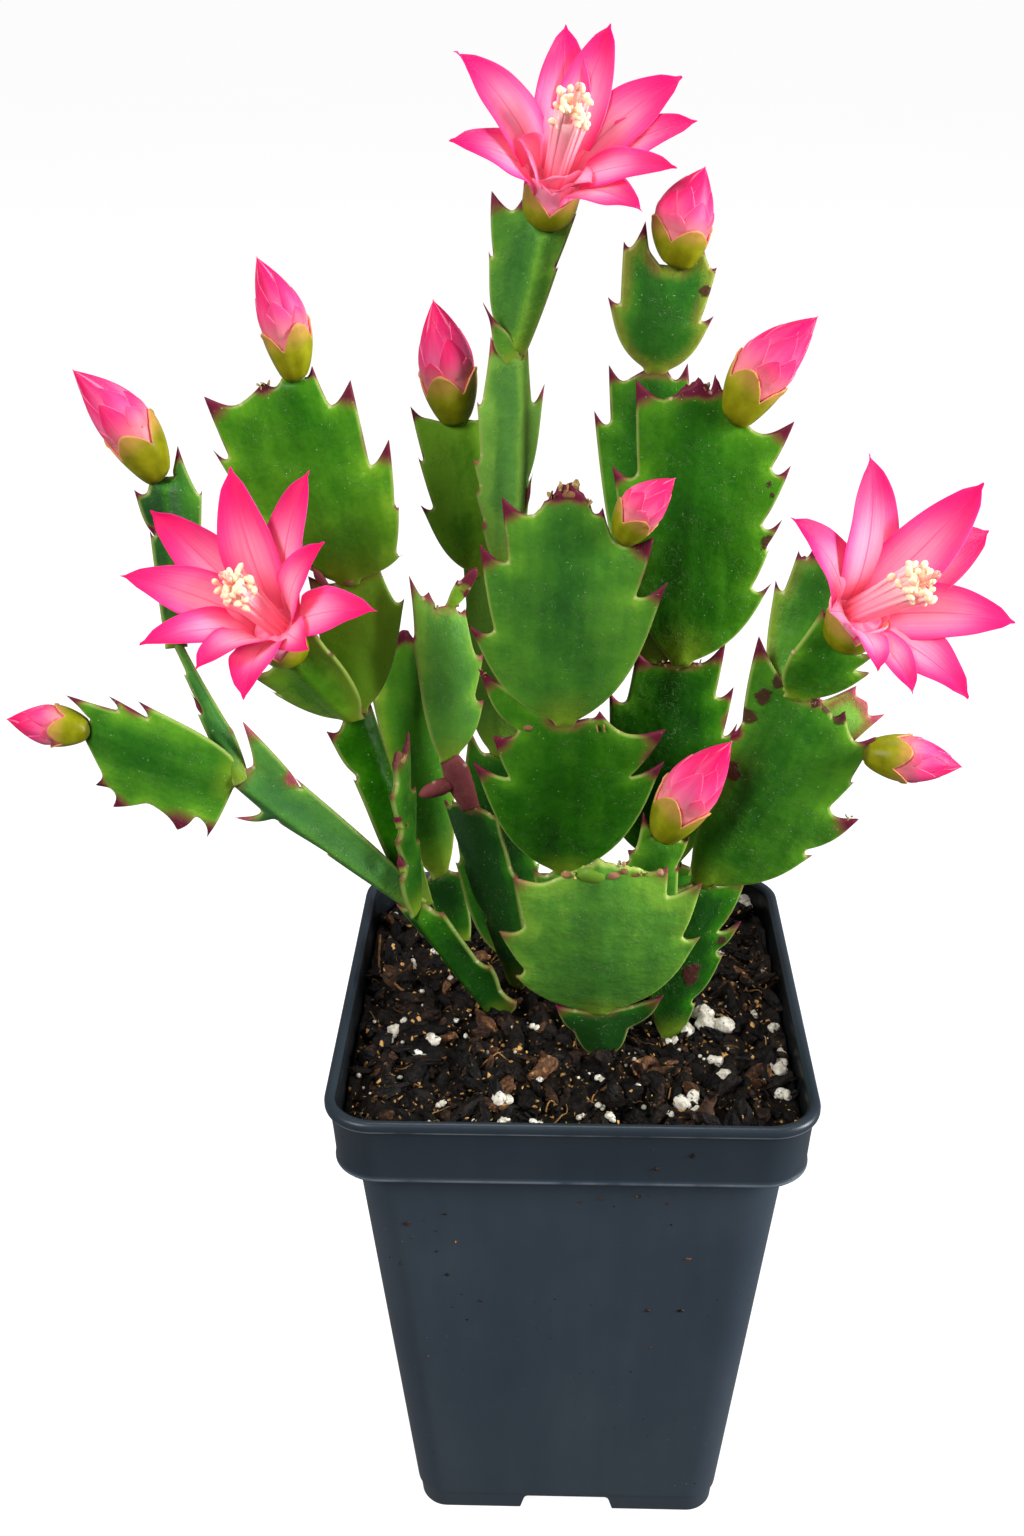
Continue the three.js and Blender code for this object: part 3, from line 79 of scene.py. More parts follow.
# on: the segment that carries it, or root: where its foot stands on the mix
# seat: share of the carrier's length, share of its half width, height over its middle plane
# lean: to the right; toward: to the viewer; turn: about its own length; arch: bow of its face
# keel: height of its midrib's ridge; slim: share of its width that its top keeps
# left and right: teeth from the foot up, each (tip along, tip out, notch along, notch out) as shares
SEGMENTS = {
    "front_low": dict(
        root=(6.9, -15.3), length=13.6, lean=-3.9, toward=12, width=17,
        left=((0.55, 0.7, 0.57, 0.7), (1.2, 1.1, 1.05, 0.6)),
        right=((0.55, 0.7, 0.57, 0.7), (1.3, 1.6, 1.05, 0.8)),
    ),
    "front_wide": dict(
        on="front_low", length=46.5, lean=-1.4, toward=19, width=38, arch=1.2,
        left=((0.3, 0.93, 0.34, 0.81), (0.6, 1.06, 0.64, 0.78), (0.94, 0.88, 0.92, 0.47)),
        right=((0.56, 1.06, 0.55, 0.86), (0.9, 1.04, 0.81, 0.68), (0.98, 0.69, 0.98, 0.4)),
    ),
    "centre_base": dict(
        root=(1, 7.5), length=34.9, lean=-4.7, toward=6, width=15,
        left=((0.6, 0.9, 0.62, 0.7), (1.04, 0.9, 0.97, 0.5)),
        right=((0.5, 0.9, 0.52, 0.7), (1.04, 0.9, 0.97, 0.5)),
    ),
    "centre_mid": dict(
        on="centre_base", length=40.5, lean=-0.2, toward=12, width=37, arch=1.4,
        left=((0.76, 1.02, 0.66, 0.61), (0.92, 0.79, 0.95, 0.5), (1.28, 0.94, 1.08, 0.3)),
        right=((0.77, 1.11, 0.67, 0.72), (0.96, 1.11, 0.95, 0.59), (1.06, 0.38, 1.02, 0.28)),
    ),
    "centre_top": dict(
        on="centre_mid", length=49.6, lean=0.4, toward=4, width=35, arch=1.5,
        left=((0.45, 1.1, 0.42, 0.8), (0.78, 0.96, 0.71, 0.64), (0.97, 0.72, 0.9, 0.37)),
        right=((0.64, 1.1, 0.57, 0.75), (0.82, 0.93, 0.8, 0.5), (0.93, 0.37, 0.93, 0.25)),
    ),
    "dark": dict(
        root=(-12.4, 10), length=50.2, lean=-11.3, toward=4, width=18, turn=-42,
        left=((0.37, 0.56, 0.39, 0.44), (0.66, 0.89, 0.68, 0.76), (0.98, 0.94, 0.97, 0.69)),
        right=((0.71, 1.1, 0.72, 0.94), (1.02, 0.95, 0.99, 0.66)),
    ),
    "stub": dict(
        on="dark", length=12.9, lean=-19.1, toward=4, width=7.4, turn=-20, thickness=4.4,
        left=((0.55, 0.95, 0.6, 0.85),),
        right=((0.75, 0.95, 0.8, 0.85),),
    ),
    "left_centre": dict(
        on="stub", length=33.8, lean=-0.1, toward=0, width=16.5, turn=30, arch=1.5,
        left=((0.84, 0.96, 0.87, 0.87), (1.22, 0.85, 1.07, 0.57), (1.1, 0.38, 1.03, 0.23)),
        right=((0.35, 0.95, 0.39, 0.69), (0.66, 0.94, 0.7, 0.67), (0.96, 0.53, 0.96, 0.31)),
    ),
    "stub_bud": dict(
        on="stub", seat=(0.5, -0.3, 0.6), length=6.9, lean=-104, toward=20, width=4.6, thickness=3.6,
        left=((0.45, 0.9, 0.6, 0.85),),
        right=((0.45, 0.9, 0.6, 0.85),),
    ),
    "shoot": dict(
        on="left_centre", seat=(1, 0.2, 0), length=8.3, lean=33.4, toward=0, width=3.4, thickness=1.8,
        left=((0.62, 1.15, 0.6, 0.7),),
        right=((0.45, 0.9, 0.6, 0.8),),
    ),
    "foot_left": dict(
        root=(-15.8, -1.5), length=35.5, lean=-30.5, toward=4, width=12, turn=-25, keel=1.5,
        left=((0.55, 0.7, 0.57, 0.6), (1.03, 0.8, 0.98, 0.4)),
        right=((0.1, 1.2, 0.2, 0.8), (0.42, 1.2, 0.47, 0.8), (0.9, 0.9, 0.94, 0.5)),
    ),
    "branch": dict(
        on="foot_left", length=50.8, lean=-42.3, toward=14, width=17, arch=0.6, keel=1.6,
        left=((0.48, 0.28, 0.5, 0.22), (0.74, 0.34, 0.76, 0.3), (0.88, 0.94, 0.82, 0.34)),
        right=((0.84, 0.89, 0.78, 0.72), (1.16, 1.19, 0.99, 0.47)),
    ),
    "far_left": dict(
        on="branch", length=30.6, lean=-67.2, toward=6, width=21.6, arch=0.8,
        left=(
            (0.05, 1.41, 0.17, 1.01), (0.25, 1.43, 0.49, 1.07),
            (0.69, 1.39, 0.75, 1), (0.84, 1.06, 0.84, 0.72),
        ),
        right=((0.76, 0.88, 0.66, 0.61), (0.94, 0.77, 0.85, 0.56), (1.19, 0.48, 1.06, 0.29)),
    ),
    "riser": dict(
        on="branch", seat=(1, 0.05, 0.5), length=29.6, lean=-25.7, toward=-18, width=6, turn=20, keel=0.6, slim=0.5,
        left=((0.5, 1, 0.5, 0.6), (0.78, 0.85, 0.78, 0.5)),
        right=((0.3, 1, 0.5, 0.85),),
    ),
    "bud_bearer": dict(
        on="riser", length=32.5, lean=-0.1, toward=-4, width=15, turn=20, keel=1.2,
        left=((0.69, 0.42, 0.65, 0.28), (0.94, 0.72, 0.92, 0.38)),
        right=((0.91, 0.98, 0.89, 0.87), (1.18, 0.46, 1.02, 0.26)),
    ),
    "thin": dict(
        on="foot_left", seat=(0.99, 0.1, 1.2), length=39.5, lean=-2.4, toward=9, width=12, turn=66,
        left=((0.3, 0.8, 0.34, 0.4), (0.55, 0.8, 0.6, 0.4), (0.86, 0.9, 0.88, 0.4)),
        right=((0.4, 0.7, 0.44, 0.4), (0.74, 0.8, 0.78, 0.4), (1.1, 0.8, 0.98, 0.3)),
    ),
    "bearer": dict(
        on="foot_left", seat=(0.97, 0.1, -1.6), length=45.5, lean=-16.3, toward=-6, width=15, turn=32,
        left=((0.7, 0.77, 0.71, 0.65), (0.96, 1.06, 0.96, 0.57)),
        right=((0.65, 0.5, 0.67, 0.41), (1.04, 0.43, 0.98, 0.21)),
    ),
    "bloom_bearer_left": dict(
        on="bearer", seat=(0.98, -0.25, 0.8), length=21.9, lean=-30.5, toward=24, width=18, turn=-20, keel=0.8,
        left=((0.61, 1.3, 0.5, 1.07), (0.87, 1.3, 0.9, 0.7)),
        right=((0.91, 0.97, 0.95, 0.93), (1.28, 1.01, 1.15, 0.58)),
    ),
    "left_mid": dict(
        on="bearer", length=27.2, lean=-1.2, toward=-4, width=21, turn=10,
        left=((1.06, 0.77, 0.99, 0.27),),
        right=((0.84, 1.05, 0.82, 0.86), (1.17, 0.54, 1.02, 0.22)),
    ),
    "left_big": dict(
        on="left_mid", length=42.7, lean=-11, toward=4, width=33.5, arch=1.4,
        left=((0.75, 1.12, 0.7, 0.95), (0.99, 1.05, 0.93, 0.66), (1, 0.35, 0.99, 0.16)),
        right=(
            (0.09, 0.72, 0.11, 0.65), (0.33, 0.82, 0.35, 0.78), (0.65, 0.9, 0.54, 0.61),
            (0.94, 0.63, 0.84, 0.33), (1.03, 0.24, 0.99, 0.11),
        ),
    ),
    "inner_left": dict(
        root=(-26.2, 30.4), length=18.4, lean=-15.6, toward=-4, width=11,
        left=((0.95, 0.9, 0.98, 0.5),),
        right=((0.95, 0.9, 0.98, 0.5),),
    ),
    "left_back": dict(
        on="inner_left", length=62, lean=-6.1, toward=3, width=21, turn=30, arch=-2,
        left=((0.48, 0.85, 0.5, 0.72), (0.81, 0.85, 0.82, 0.7), (1.03, 0.72, 0.99, 0.3)),
        right=((0.52, 0.85, 0.53, 0.72), (0.78, 0.85, 0.8, 0.7), (1, 0.6, 0.97, 0.25)),
    ),
    "tall_base": dict(
        root=(-14.9, 24), length=52.8, lean=-1.6, toward=-1, width=24, turn=12,
        left=((0.5, 0.95, 0.52, 0.85), (0.8, 0.95, 0.82, 0.8), (1.13, 0.55, 1, 0.3)),
        right=((0.45, 0.7, 0.47, 0.6), (0.75, 0.75, 0.77, 0.6), (1.04, 0.6, 0.98, 0.3)),
    ),
    "tall_low": dict(
        on="tall_base", length=43.4, lean=0.4, toward=-2, width=20, turn=-10, arch=-1,
        left=((0.45, 0.9, 0.47, 0.75), (0.75, 0.95, 0.77, 0.75), (1.06, 0.8, 0.98, 0.5)),
        right=((0.5, 0.9, 0.52, 0.75), (0.8, 0.95, 0.82, 0.75), (1.06, 0.8, 0.98, 0.5)),
    ),
    "tall_mid": dict(
        on="tall_low", seat=(1, 0.25, 0), length=46.3, lean=1.7, toward=0, width=14.5, turn=22, keel=2.4,
        left=(
            (0.21, 0.93, 0.24, 0.88), (0.38, 1.16, 0.4, 1.01), (0.52, 1.21, 0.54, 1),
            (0.78, 1.14, 0.79, 0.97), (1.06, 0.77, 0.98, 0.49),
        ),
        right=((0.43, 0.54, 0.41, 0.45), (0.84, 0.87, 0.75, 0.5), (1.04, 0.32, 0.98, 0.13)),
    ),
    "tall_top": dict(
        on="tall_mid", length=24.9, lean=13.4, toward=4, width=17, turn=-12, keel=1.8,
        left=((0.68, 1.16, 0.64, 1.01), (1.13, 1.39, 1.02, 0.8), (1.14, 0.65, 1.06, 0.35)),
        right=((0.72, 0.52, 0.7, 0.46), (1.15, 0.63, 1.08, 0.43)),
    ),
    "back_mid": dict(
        on="tall_low", seat=(0.97, -0.4, 0.2), length=31.9, lean=-8.6, toward=-8, width=19, turn=15,
        left=((0.51, 1.12, 0.47, 0.83), (0.82, 0.99, 0.79, 0.88), (1.15, 0.98, 1.06, 0.7)),
        right=((0.45, 0.55, 0.48, 0.45), (1.04, 0.75, 0.99, 0.38)),
    ),
    "right_base": dict(
        root=(18.6, 9.9), length=33.5, lean=5.1, toward=0, width=18,
        left=((0.55, 0.8, 0.57, 0.65), (1.02, 0.9, 0.98, 0.5)),
        right=((0.6, 0.8, 0.62, 0.65), (1.02, 0.9, 0.98, 0.5)),
    ),
    "right_mid": dict(
        on="right_base", length=48, lean=0.6, toward=0, width=22, arch=-1,
        left=((0.3, 1.35, 0.32, 1.2), (0.85, 1.33, 0.8, 1), (1.05, 0.85, 0.99, 0.39)),
        right=((0.71, 1.16, 0.64, 0.88), (0.88, 1.04, 0.83, 0.69), (1.1, 0.82, 0.99, 0.36)),
    ),
    "right_big": dict(
        on="right_mid", length=57.9, lean=0.8, toward=2, width=31.7, arch=1.2,
        left=((0.73, 1, 0.7, 0.68), (1.02, 0.75, 0.96, 0.32)),
        right=(
            (0.32, 1.09, 0.3, 0.83), (0.46, 1.03, 0.45, 0.97), (0.55, 1.15, 0.53, 0.89),
            (0.74, 1.2, 0.73, 0.95), (0.89, 1.2, 0.86, 0.69), (1.04, 0.2, 0.98, 0.15),
        ),
    ),
    "right_lean": dict(
        on="right_base", seat=(0.97, 0.7, 0.6), length=32.2, lean=15.8, toward=4, width=14, turn=35, arch=1.2,
        left=((0.5, 0.8, 0.52, 0.68), (0.98, 0.9, 0.92, 0.5)),
        right=((0.55, 0.8, 0.57, 0.68), (1.1, 0.4, 0.98, 0.2)),
    ),
    "right_back": dict(
        on="right_mid", seat=(0.97, -0.5, -1), length=60.3, lean=-1.1, toward=-8, width=22.4, arch=-3,
        left=((0.45, 0.92, 0.46, 0.82), (0.87, 1.09, 0.83, 0.79), (1.02, 0.83, 0.97, 0.49)),
        right=((0.4, 0.92, 0.41, 0.82), (0.7, 1.03, 0.68, 0.82), (1.02, 0.56, 0.97, 0.29)),
    ),
    "right_top": dict(
        on="right_back", length=20.4, lean=6, toward=4, width=20, arch=1,
        left=((0.66, 1.13, 0.6, 0.86), (1.17, 0.95, 1.11, 0.8), (1.36, 0.58, 1.11, 0.45)),
        right=((0.59, 0.96, 0.52, 0.7), (1.03, 0.88, 1.02, 0.75), (1.22, 0.55, 1.12, 0.47)),
    ),
    "right_low": dict(
        root=(22, -8.7), length=40.4, lean=6.9, toward=2, width=19, turn=15,
        left=((0.71, 1, 0.68, 0.86), (1.02, 1.1, 0.96, 0.59)),
        right=(
            (0.23, 0.44, 0.25, 0.32), (0.55, 0.87, 0.57, 0.67),
            (0.75, 1.14, 0.69, 0.59), (1.05, 1.07, 0.98, 0.38),
        ),
    ),
    "right_wide": dict(
        on="right_low", length=50.6, lean=20, toward=10, width=30, arch=1.2,
        left=((0.75, 0.64, 0.8, 0.58), (1.16, 0.89, 1.02, 0.32)),
        right=(
            (0.33, 1.18, 0.34, 1.02), (0.56, 1.46, 0.57, 1), (0.72, 1.14, 0.73, 1.08),
            (0.93, 1.1, 0.89, 0.82), (0.99, 0.56, 0.96, 0.42),
        ),
    ),
    "bloom_bearer_right": dict(
        on="right_wide", seat=(0.99, -0.12, 0.8), length=15.7, lean=28.2, toward=20, width=14.5, turn=12, arch=0.6,
        left=((0.67, 1.11, 0.67, 1.06), (1.33, 1.03, 1.15, 0.67)),
        right=((0.76, 1.16, 0.71, 0.72), (1, 0.94, 0.95, 0.51)),
    ),
    "right_back_top": dict(
        on="right_wide", seat=(0.98, -0.3, -0.9), length=27.3, lean=14.2, toward=-8, width=17, turn=-15, arch=-1.5,
        left=((0.71, 0.85, 0.64, 0.6), (0.95, 0.55, 0.92, 0.3)),
        right=((0.67, 1, 0.64, 0.85), (1, 0.7, 0.95, 0.4)),
    ),
    "behind_wide": dict(
        on="right_wide", seat=(0.74, 0.25, -1.6), length=15.7, lean=58.8, toward=-14, width=15,
        left=((0.6, 0.9, 0.62, 0.75), (1.07, 0.58, 1.0, 0.36)),
        right=((0.55, 0.95, 0.57, 0.8), (1.2, 0.56, 1.0, 0.34)),
    ),
    "young": dict(
        on="right_low", seat=(0.55, -0.6, 1), length=35.2, lean=-2.7, toward=14.1, width=13,
        left=((0.8, 1.3, 0.83, 1.05), (0.9, 1.12, 0.92, 0.85), (1.19, 0.62, 1.04, 0.35)),
        right=((0.75, 0.45, 0.77, 0.4), (1, 0.8, 0.97, 0.5)),
    ),
}

# bow: how far the bud's middle is bowed upward
BUDS = {
    "bud_1": dict(on="bud_bearer", seat=(1, -0.05, 0), length=25.1, width=10.3, lean=-33.2, toward=5, bow=1.5),
    "bud_2": dict(on="left_big", seat=(0.99, 0.03, 0), length=23.3, width=9.1, lean=-13.9, toward=5, bow=1.1),
    "bud_3": dict(on="back_mid", seat=(1, -0.04, 0), length=25.8, width=11.6, lean=-8.8, toward=5, bow=0.3),
    "bud_4": dict(on="right_top", seat=(1.01, 0.11, 0), length=18.7, width=11.4, lean=14.3, toward=5, bow=1.3),
    "bud_5": dict(on="right_big", seat=(0.89, 0.45, 0), length=25, width=11.2, lean=36, toward=5, bow=1.7),
    "bud_6": dict(on="centre_top", seat=(0.81, 0.57, 0.6), length=16.2, width=8.6, lean=37.6, toward=8, bow=1.1),
    "bud_7": dict(on="young", seat=(1, -0.07, 0), length=27.2, width=10.9, lean=27.2, toward=12, bow=0.7),
    "bud_8": dict(on="right_wide", seat=(0.85, 1.07, 0), length=18.9, width=9.1, lean=96.7, toward=5),
    "bud_9": dict(on="far_left", seat=(0.99, -0.02, 0), length=15.7, width=8, lean=-79.5, toward=5),
}

# tube and column: their lengths; petals: turn round the bloom from its top, opening, length, width
BLOOMS = {
    "bloom_top": dict(
        on="tall_top", lean=15.3, toward=47, tubeLean=11, tubeToward=22, tube=10,
        columnLean=14, columnToward=34, column=17,
        petals=(
            (8, 59, 26.8, 9.6), (27, 59, 28.8, 8.8), (64, 61, 29.2, 9.6), (84, 62, 28, 8.4),
            (112, 55, 24.4, 7), (139, 60, 21, 8.4), (-75, 42, 12, 9), (143, 45, 10.4, 7),
            (175, 32, 6.5, 9), (-88, 60, 24.1, 8), (-51, 54, 29.3, 9.8),
        ),
    ),
    "bloom_left": dict(
        on="bloom_bearer_left", lean=-17.8, toward=42.2, tubeLean=-13, tubeToward=30, tube=10.2,
        columnLean=-29.5, columnToward=31, column=14,
        petals=(
            (-18, 45, 30.7, 10), (17, 52, 30.8, 9.2), (52, 44, 24, 7.6), (87, 65, 26.7, 9.4),
            (119, 58, 16.9, 7.6), (164, 55, 24.8, 8.6), (-170, 43, 24.5, 8.4), (-134, 46, 27.7, 7.8),
            (-95, 48, 30.1, 9.8), (-61, 51, 31, 9.8),
        ),
    ),
    "bloom_right": dict(
        on="bloom_bearer_right", lean=26.8, toward=42.3, tubeLean=13.7, tubeToward=23.4, tube=8.3,
        columnLean=44, columnToward=37, column=15.5,
        petals=(
            (2, 51, 28.3, 10), (56, 48, 30.6, 10), (73, 69, 28.5, 9.4), (113, 67, 27.5, 10),
            (155, 69, 24.8, 9), (182, 65, 20, 7), (-157, 60, 16, 6), (-94, 58, 11.5, 5.4),
            (-48, 56, 25.7, 9),
        ),
    ),
}

# the grown pieces, each by the node that it replaces
STEMS = {
    "stem_front": ("front_low", "front_wide"),
    "stem_centre": ("centre_base", "centre_mid", "centre_top"),
    "stem_left_centre": ("dark", "stub", "stub_bud", "left_centre", "shoot"),
    "stem_left": (
        "foot_left", "branch", "far_left", "riser", "bud_bearer", "thin", "bearer", "left_mid", "left_big",
        "bloom_bearer_left", "bract_left", "bract_thin_a", "bract_thin_b", "bract_riser",
    ),
    "stem_back_left": ("inner_left", "left_back"),
    "stem_tall": ("tall_base", "tall_low", "tall_mid", "tall_top", "back_mid", "bract_tall", "bract_a", "bract_b"),
    "stem_right": ("right_base", "right_mid", "right_big", "right_lean", "right_back", "right_top"),
    "stem_right_front": ("right_low", "right_wide", "bloom_bearer_right", "right_back_top", "behind_wide", "young"),
}

# small pointed bracts beside the joints, grown like segments but only in the visual model
BRACTS = {
    "bract_tall": dict(on="tall_mid", seat=(0.97, -0.23, 1.4), length=11.2, lean=-26.5, toward=6, width=5.6),
    "bract_a": dict(on="tall_mid", seat=(0.3, 0.2, 1.6), length=7.2, lean=-24.8, toward=4, width=1.7),
    "bract_b": dict(on="tall_mid", seat=(0.3, 0.3, 1.6), length=6.7, lean=12.8, toward=4, width=1.7),
    "bract_left": dict(on="left_mid", seat=(1.02, -0.5, 0.8), length=4.4, lean=-31.3, toward=0, width=2.6),
    "bract_thin_a": dict(on="thin", seat=(0.65, -0.6, 0.4), length=3.4, lean=-8, toward=4, width=2.4),
    "bract_thin_b": dict(on="thin", seat=(0.37, -0.7, 0.4), length=3.2, lean=-12, toward=4, width=2.4),
    "bract_riser": dict(on="riser", seat=(0.5, -0.4, 0.4), length=3.6, lean=-30, toward=-10, width=1.8),
}
for bract in BRACTS.values():
    bract.update(thickness=1.5, slim=0.1, left=((0.4, 1.0, 0.5, 0.95),), right=((0.45, 0.95, 0.55, 0.9),))
SEGMENTS.update(BRACTS)

# each segment's look: tone at its foot, tone at its top (0 deep green, 1 yellow green), how purple its tips and crown
# are, how dull it is (0 glossy, 1 matt). The tones are partly painted shade and light: the dark feet of front_low and
# foot_left are painted shade near the mix, and left_mid's tone above 1 is painted light under the bloom's shadow;
# branch's dullness also paints the grey sheen that it reflects
LOOKS_WITH_PAINTED_SHADE = {
    "front_low": (-0.7, -0.15, 0.6, 0.2), "front_wide": (0.46, 0.8, 0.5, 0.6), "centre_base": (0.1, 0.3, 0.5, 0.3),
    "centre_mid": (0.13, 0.37, 1.1, 0.1), "centre_top": (0.44, 0.5, 1.2, 0.4), "dark": (-0.1, -0.08, 0.8, 0.2),
    "stub": (0.4, 0.5, 3.0, 0.4), "stub_bud": (0.6, 0.6, 3.0, 0.4), "left_centre": (0.74, 0.68, 0.8, 0.7),
    "shoot": (0.9, 0.9, 1.6, 0.2), "foot_left": (-0.46, 0.16, 0.45, 0.1), "branch": (0.28, 0.34, 0.8, 0.9),
    "far_left": (0.45, 0.45, 1.0, 0.2), "riser": (0.1, 0.36, 0.5, 0.6), "bud_bearer": (0.1, 0.12, 1.0, 0.4),
    "thin": (0.16, 0.48, 0.5, 0.2), "bearer": (0.2, 0.24, 1.0, 0.0), "bloom_bearer_left": (0.86, 0.94, 0.5, 0.1),
    "left_mid": (1.45, 1.3, 0.6, 0.1), "left_big": (0.78, 0.36, 1.1, 0.1), "inner_left": (0.3, 0.0, 0.5, 0.2),
    "left_back": (0.38, 0.72, 0.9, 0.2), "tall_base": (0.02, 0.22, 0.5, 0.2), "tall_low": (0.92, 1.08, 0.9, 0.8),
    "tall_mid": (1.0, 0.84, 0.9, 1.0), "tall_top": (0.64, 0.6, 1.0, 0.6), "back_mid": (0.88, 1.04, 1.2, 0.2),
    "right_base": (0.1, 0.3, 0.8, 0.2), "right_mid": (0.18, 0.2, 1.1, 0.1), "right_big": (0.28, 0.32, 1.2, 0.1),
    "right_lean": (0.3, 0.45, 0.8, 0.2), "right_back": (0.2, 0.3, 1.2, 0.2), "right_top": (0.34, 0.24, 1.2, 0.3),
    "right_low": (-0.08, 0.16, 0.6, 0.1), "right_wide": (0.46, 0.36, 1.1, 0.2),
    "bloom_bearer_right": (0.6, 0.36, 0.5, 0.1), "right_back_top": (0.56, 0.46, 0.9, 0.3),
    "behind_wide": (1.1, 1.2, 1.6, 1.0), "young": (0.36, 0.5, 0.9, 0.2),
    "bract_tall": (0.6, 0.5, 1.7, 0.5), "bract_a": (0.7, 0.5, 1.9, 0.8), "bract_b": (0.7, 0.5, 1.9, 0.8),
    "bract_left": (0.5, 0.5, 2.2, 0.8), "bract_thin_a": (0.6, 0.6, 1.5, 0.4), "bract_thin_b": (0.6, 0.6, 1.5, 0.4),
    "bract_riser": (0.4, 0.4, 1.8, 0.4),
}

# segments whose bare crowns have stayed green
PALE_CROWNS = ("front_wide", "behind_wide")

# segments whose margins have flushed yellow and brown in the sun
FLUSHED = {"right_top": 0.85, "behind_wide": 1.5, "right_back_top": 0.45, "bloom_bearer_left": 0.3, "left_back": 0.3}

# purple and brown stains on a segment: share along, share out (+ to the right), radius
STAINS = {
    "right_low": ((0.46, 0.1, 2.2), (0.4, 0.15, 1.6), (0.64, 0.72, 1.2)),
    "right_wide": (
        (0.58, -0.38, 1.5), (0.62, -0.44, 1.1), (1.02, -0.4, 1.5), (0.94, -0.5, 1.7), (0.84, -0.56, 1.8),
        (0.99, 0.14, 1.2), (0.98, 0.34, 1.3), (0.965, 0.54, 1.6),
    ),
    "right_top": ((0.82, 0.72, 1.2),),
    "right_big": ((0.47, 1.0, 1.7), (0.64, 0.98, 0.7), (0.68, 0.95, 0.7)),
    "left_big": ((1.0, -0.3, 1.7),),
    "far_left": ((0.8, -1.06, 1.3),),
}

# ---------------------------------------------------------------- the camera and the light

VIEW_FOCAL = 1669.65  # pixels, for a picture 1536 pixels high
VIEW_PICTURE_HEIGHT = 1536
VIEW_PLACE = (-2.905, -311.37, 335.19)
VIEW_YAW = -1.83
VIEW_PITCH = 26.51
VIEW_ROLL = -0.35
SENSOR_HEIGHT = 36
CLIP_START = 0.01  # metres

# soft boxes: name, place, width, height in metres, power in watts
SOFTBOXES = (
    ("left_window", (-0.75, -0.85, 0.95), 0.5, 0.6, 18),
    ("right_window", (0.98, -0.24, 0.42), 0.25, 0.7, 22),
    ("overhead", (0.05, 0.2, 1.25), 0.6, 0.5, 6),
)
LIT_PLACE = (0, 0, 0.18)
STUDIO_GLOW = 0.2


def unit(v):
    return np.asarray(v, float) / np.linalg.norm(v)


def square_to(v, axis):
    """The part of a direction that is square to an axis."""
    v = np.asarray(v, float)
    return unit(v - axis * (v @ axis))


def set_camera():
    yaw, pitch, roll = (math.radians(a) for a in (VIEW_YAW, VIEW_PITCH, VIEW_ROLL))
    ahead = np.array([math.sin(yaw) * math.cos(pitch), math.cos(yaw) * math.cos(pitch), -math.sin(pitch)])
    level = unit(np.cross(ahead, (0, 0, 1)))
    above = np.cross(level, ahead)
    right = math.cos(roll) * level + math.sin(roll) * above
    up = -math.sin(roll) * level + math.cos(roll) * above
    lens = bpy.data.cameras.new("viewer")
    lens.sensor_fit = "VERTICAL"
    lens.sensor_height = SENSOR_HEIGHT
    lens.lens = VIEW_FOCAL / VIEW_PICTURE_HEIGHT * SENSOR_HEIGHT
    lens.clip_start = CLIP_START
    viewer = bpy.data.objects.new("viewer", lens)
    turned = Matrix((right, up, -ahead)).transposed().to_4x4()
    viewer.matrix_world = Matrix.Translation(Vector(VIEW_PLACE) * MM) @ turned
    bpy.context.collection.objects.link(viewer)
    bpy.context.scene.camera = viewer


def softbox(name, place, width, height, power):
    """A rectangular lamp that faces the plant."""
    lamp = bpy.data.lights.new(name, "AREA")
    lamp.shape = "RECTANGLE"
    lamp.size, lamp.size_y, lamp.energy = width, height, power
    holder = bpy.data.objects.new(name, lamp)
    holder.location = place
    holder.rotation_euler = (Vector(LIT_PLACE) - Vector(place)).to_track_quat("-Z", "Y").to_euler()
    bpy.context.collection.objects.link(holder)


def set_light():
    world = bpy.data.worlds.new("studio")
    world.use_nodes = True
    background = world.node_tree.nodes["Background"]
    background.inputs["Color"].default_value = (1, 1, 1, 1)
    background.inputs["Strength"].default_value = STUDIO_GLOW
    bpy.context.scene.world = world
    bpy.context.scene.view_settings.view_transform = "Standard"
    for box in SOFTBOXES:
        softbox(*box)


# ---------------------------------------------------------------- shader kit


class Wire:
    """A shader value. Python operators on it add Math nodes."""

    def __init__(self, finish, socket):
        self.finish, self.socket = finish, socket

    def math(self, operation, *values):
        return self.finish.add("ShaderNodeMath", {"operation": operation}, dict(enumerate(values)))

    def __add__(self, other):
        return self.math("ADD", self, other)

    def __sub__(self, other):
        return self.math("SUBTRACT", self, other)

    def __rsub__(self, other):
        return self.math("SUBTRACT", other, self)

    def __mul__(self, other):
        return self.math("MULTIPLY", self, other)

    def __pow__(self, other):
        return self.math("POWER", self, other)

    __radd__ = __add__
    __rmul__ = __mul__

    def size(self):
        return self.math("ABSOLUTE", self)

    def most(self, other):
        return self.math("MAXIMUM", self, other)

    def swing(self, reach):
        """The value about its middle: half the reach below 0 to half the reach above."""
        return (self - 0.5) * reach

    def held(self):
        """The value kept between 0 and 1."""
        return self.finish.add("ShaderNodeClamp", {}, {0: self})

    def rise(self, low, high):
        """A soft step from 0 at low to 1 at high; low may lie above high."""
        if low > high:
            return 1 - self.rise(high, low)
        sockets = {0: self, 1: low, 2: high, 3: 0.0, 4: 1.0}
        return self.finish.add("ShaderNodeMapRange", {"interpolation_type": "SMOOTHSTEP"}, sockets)


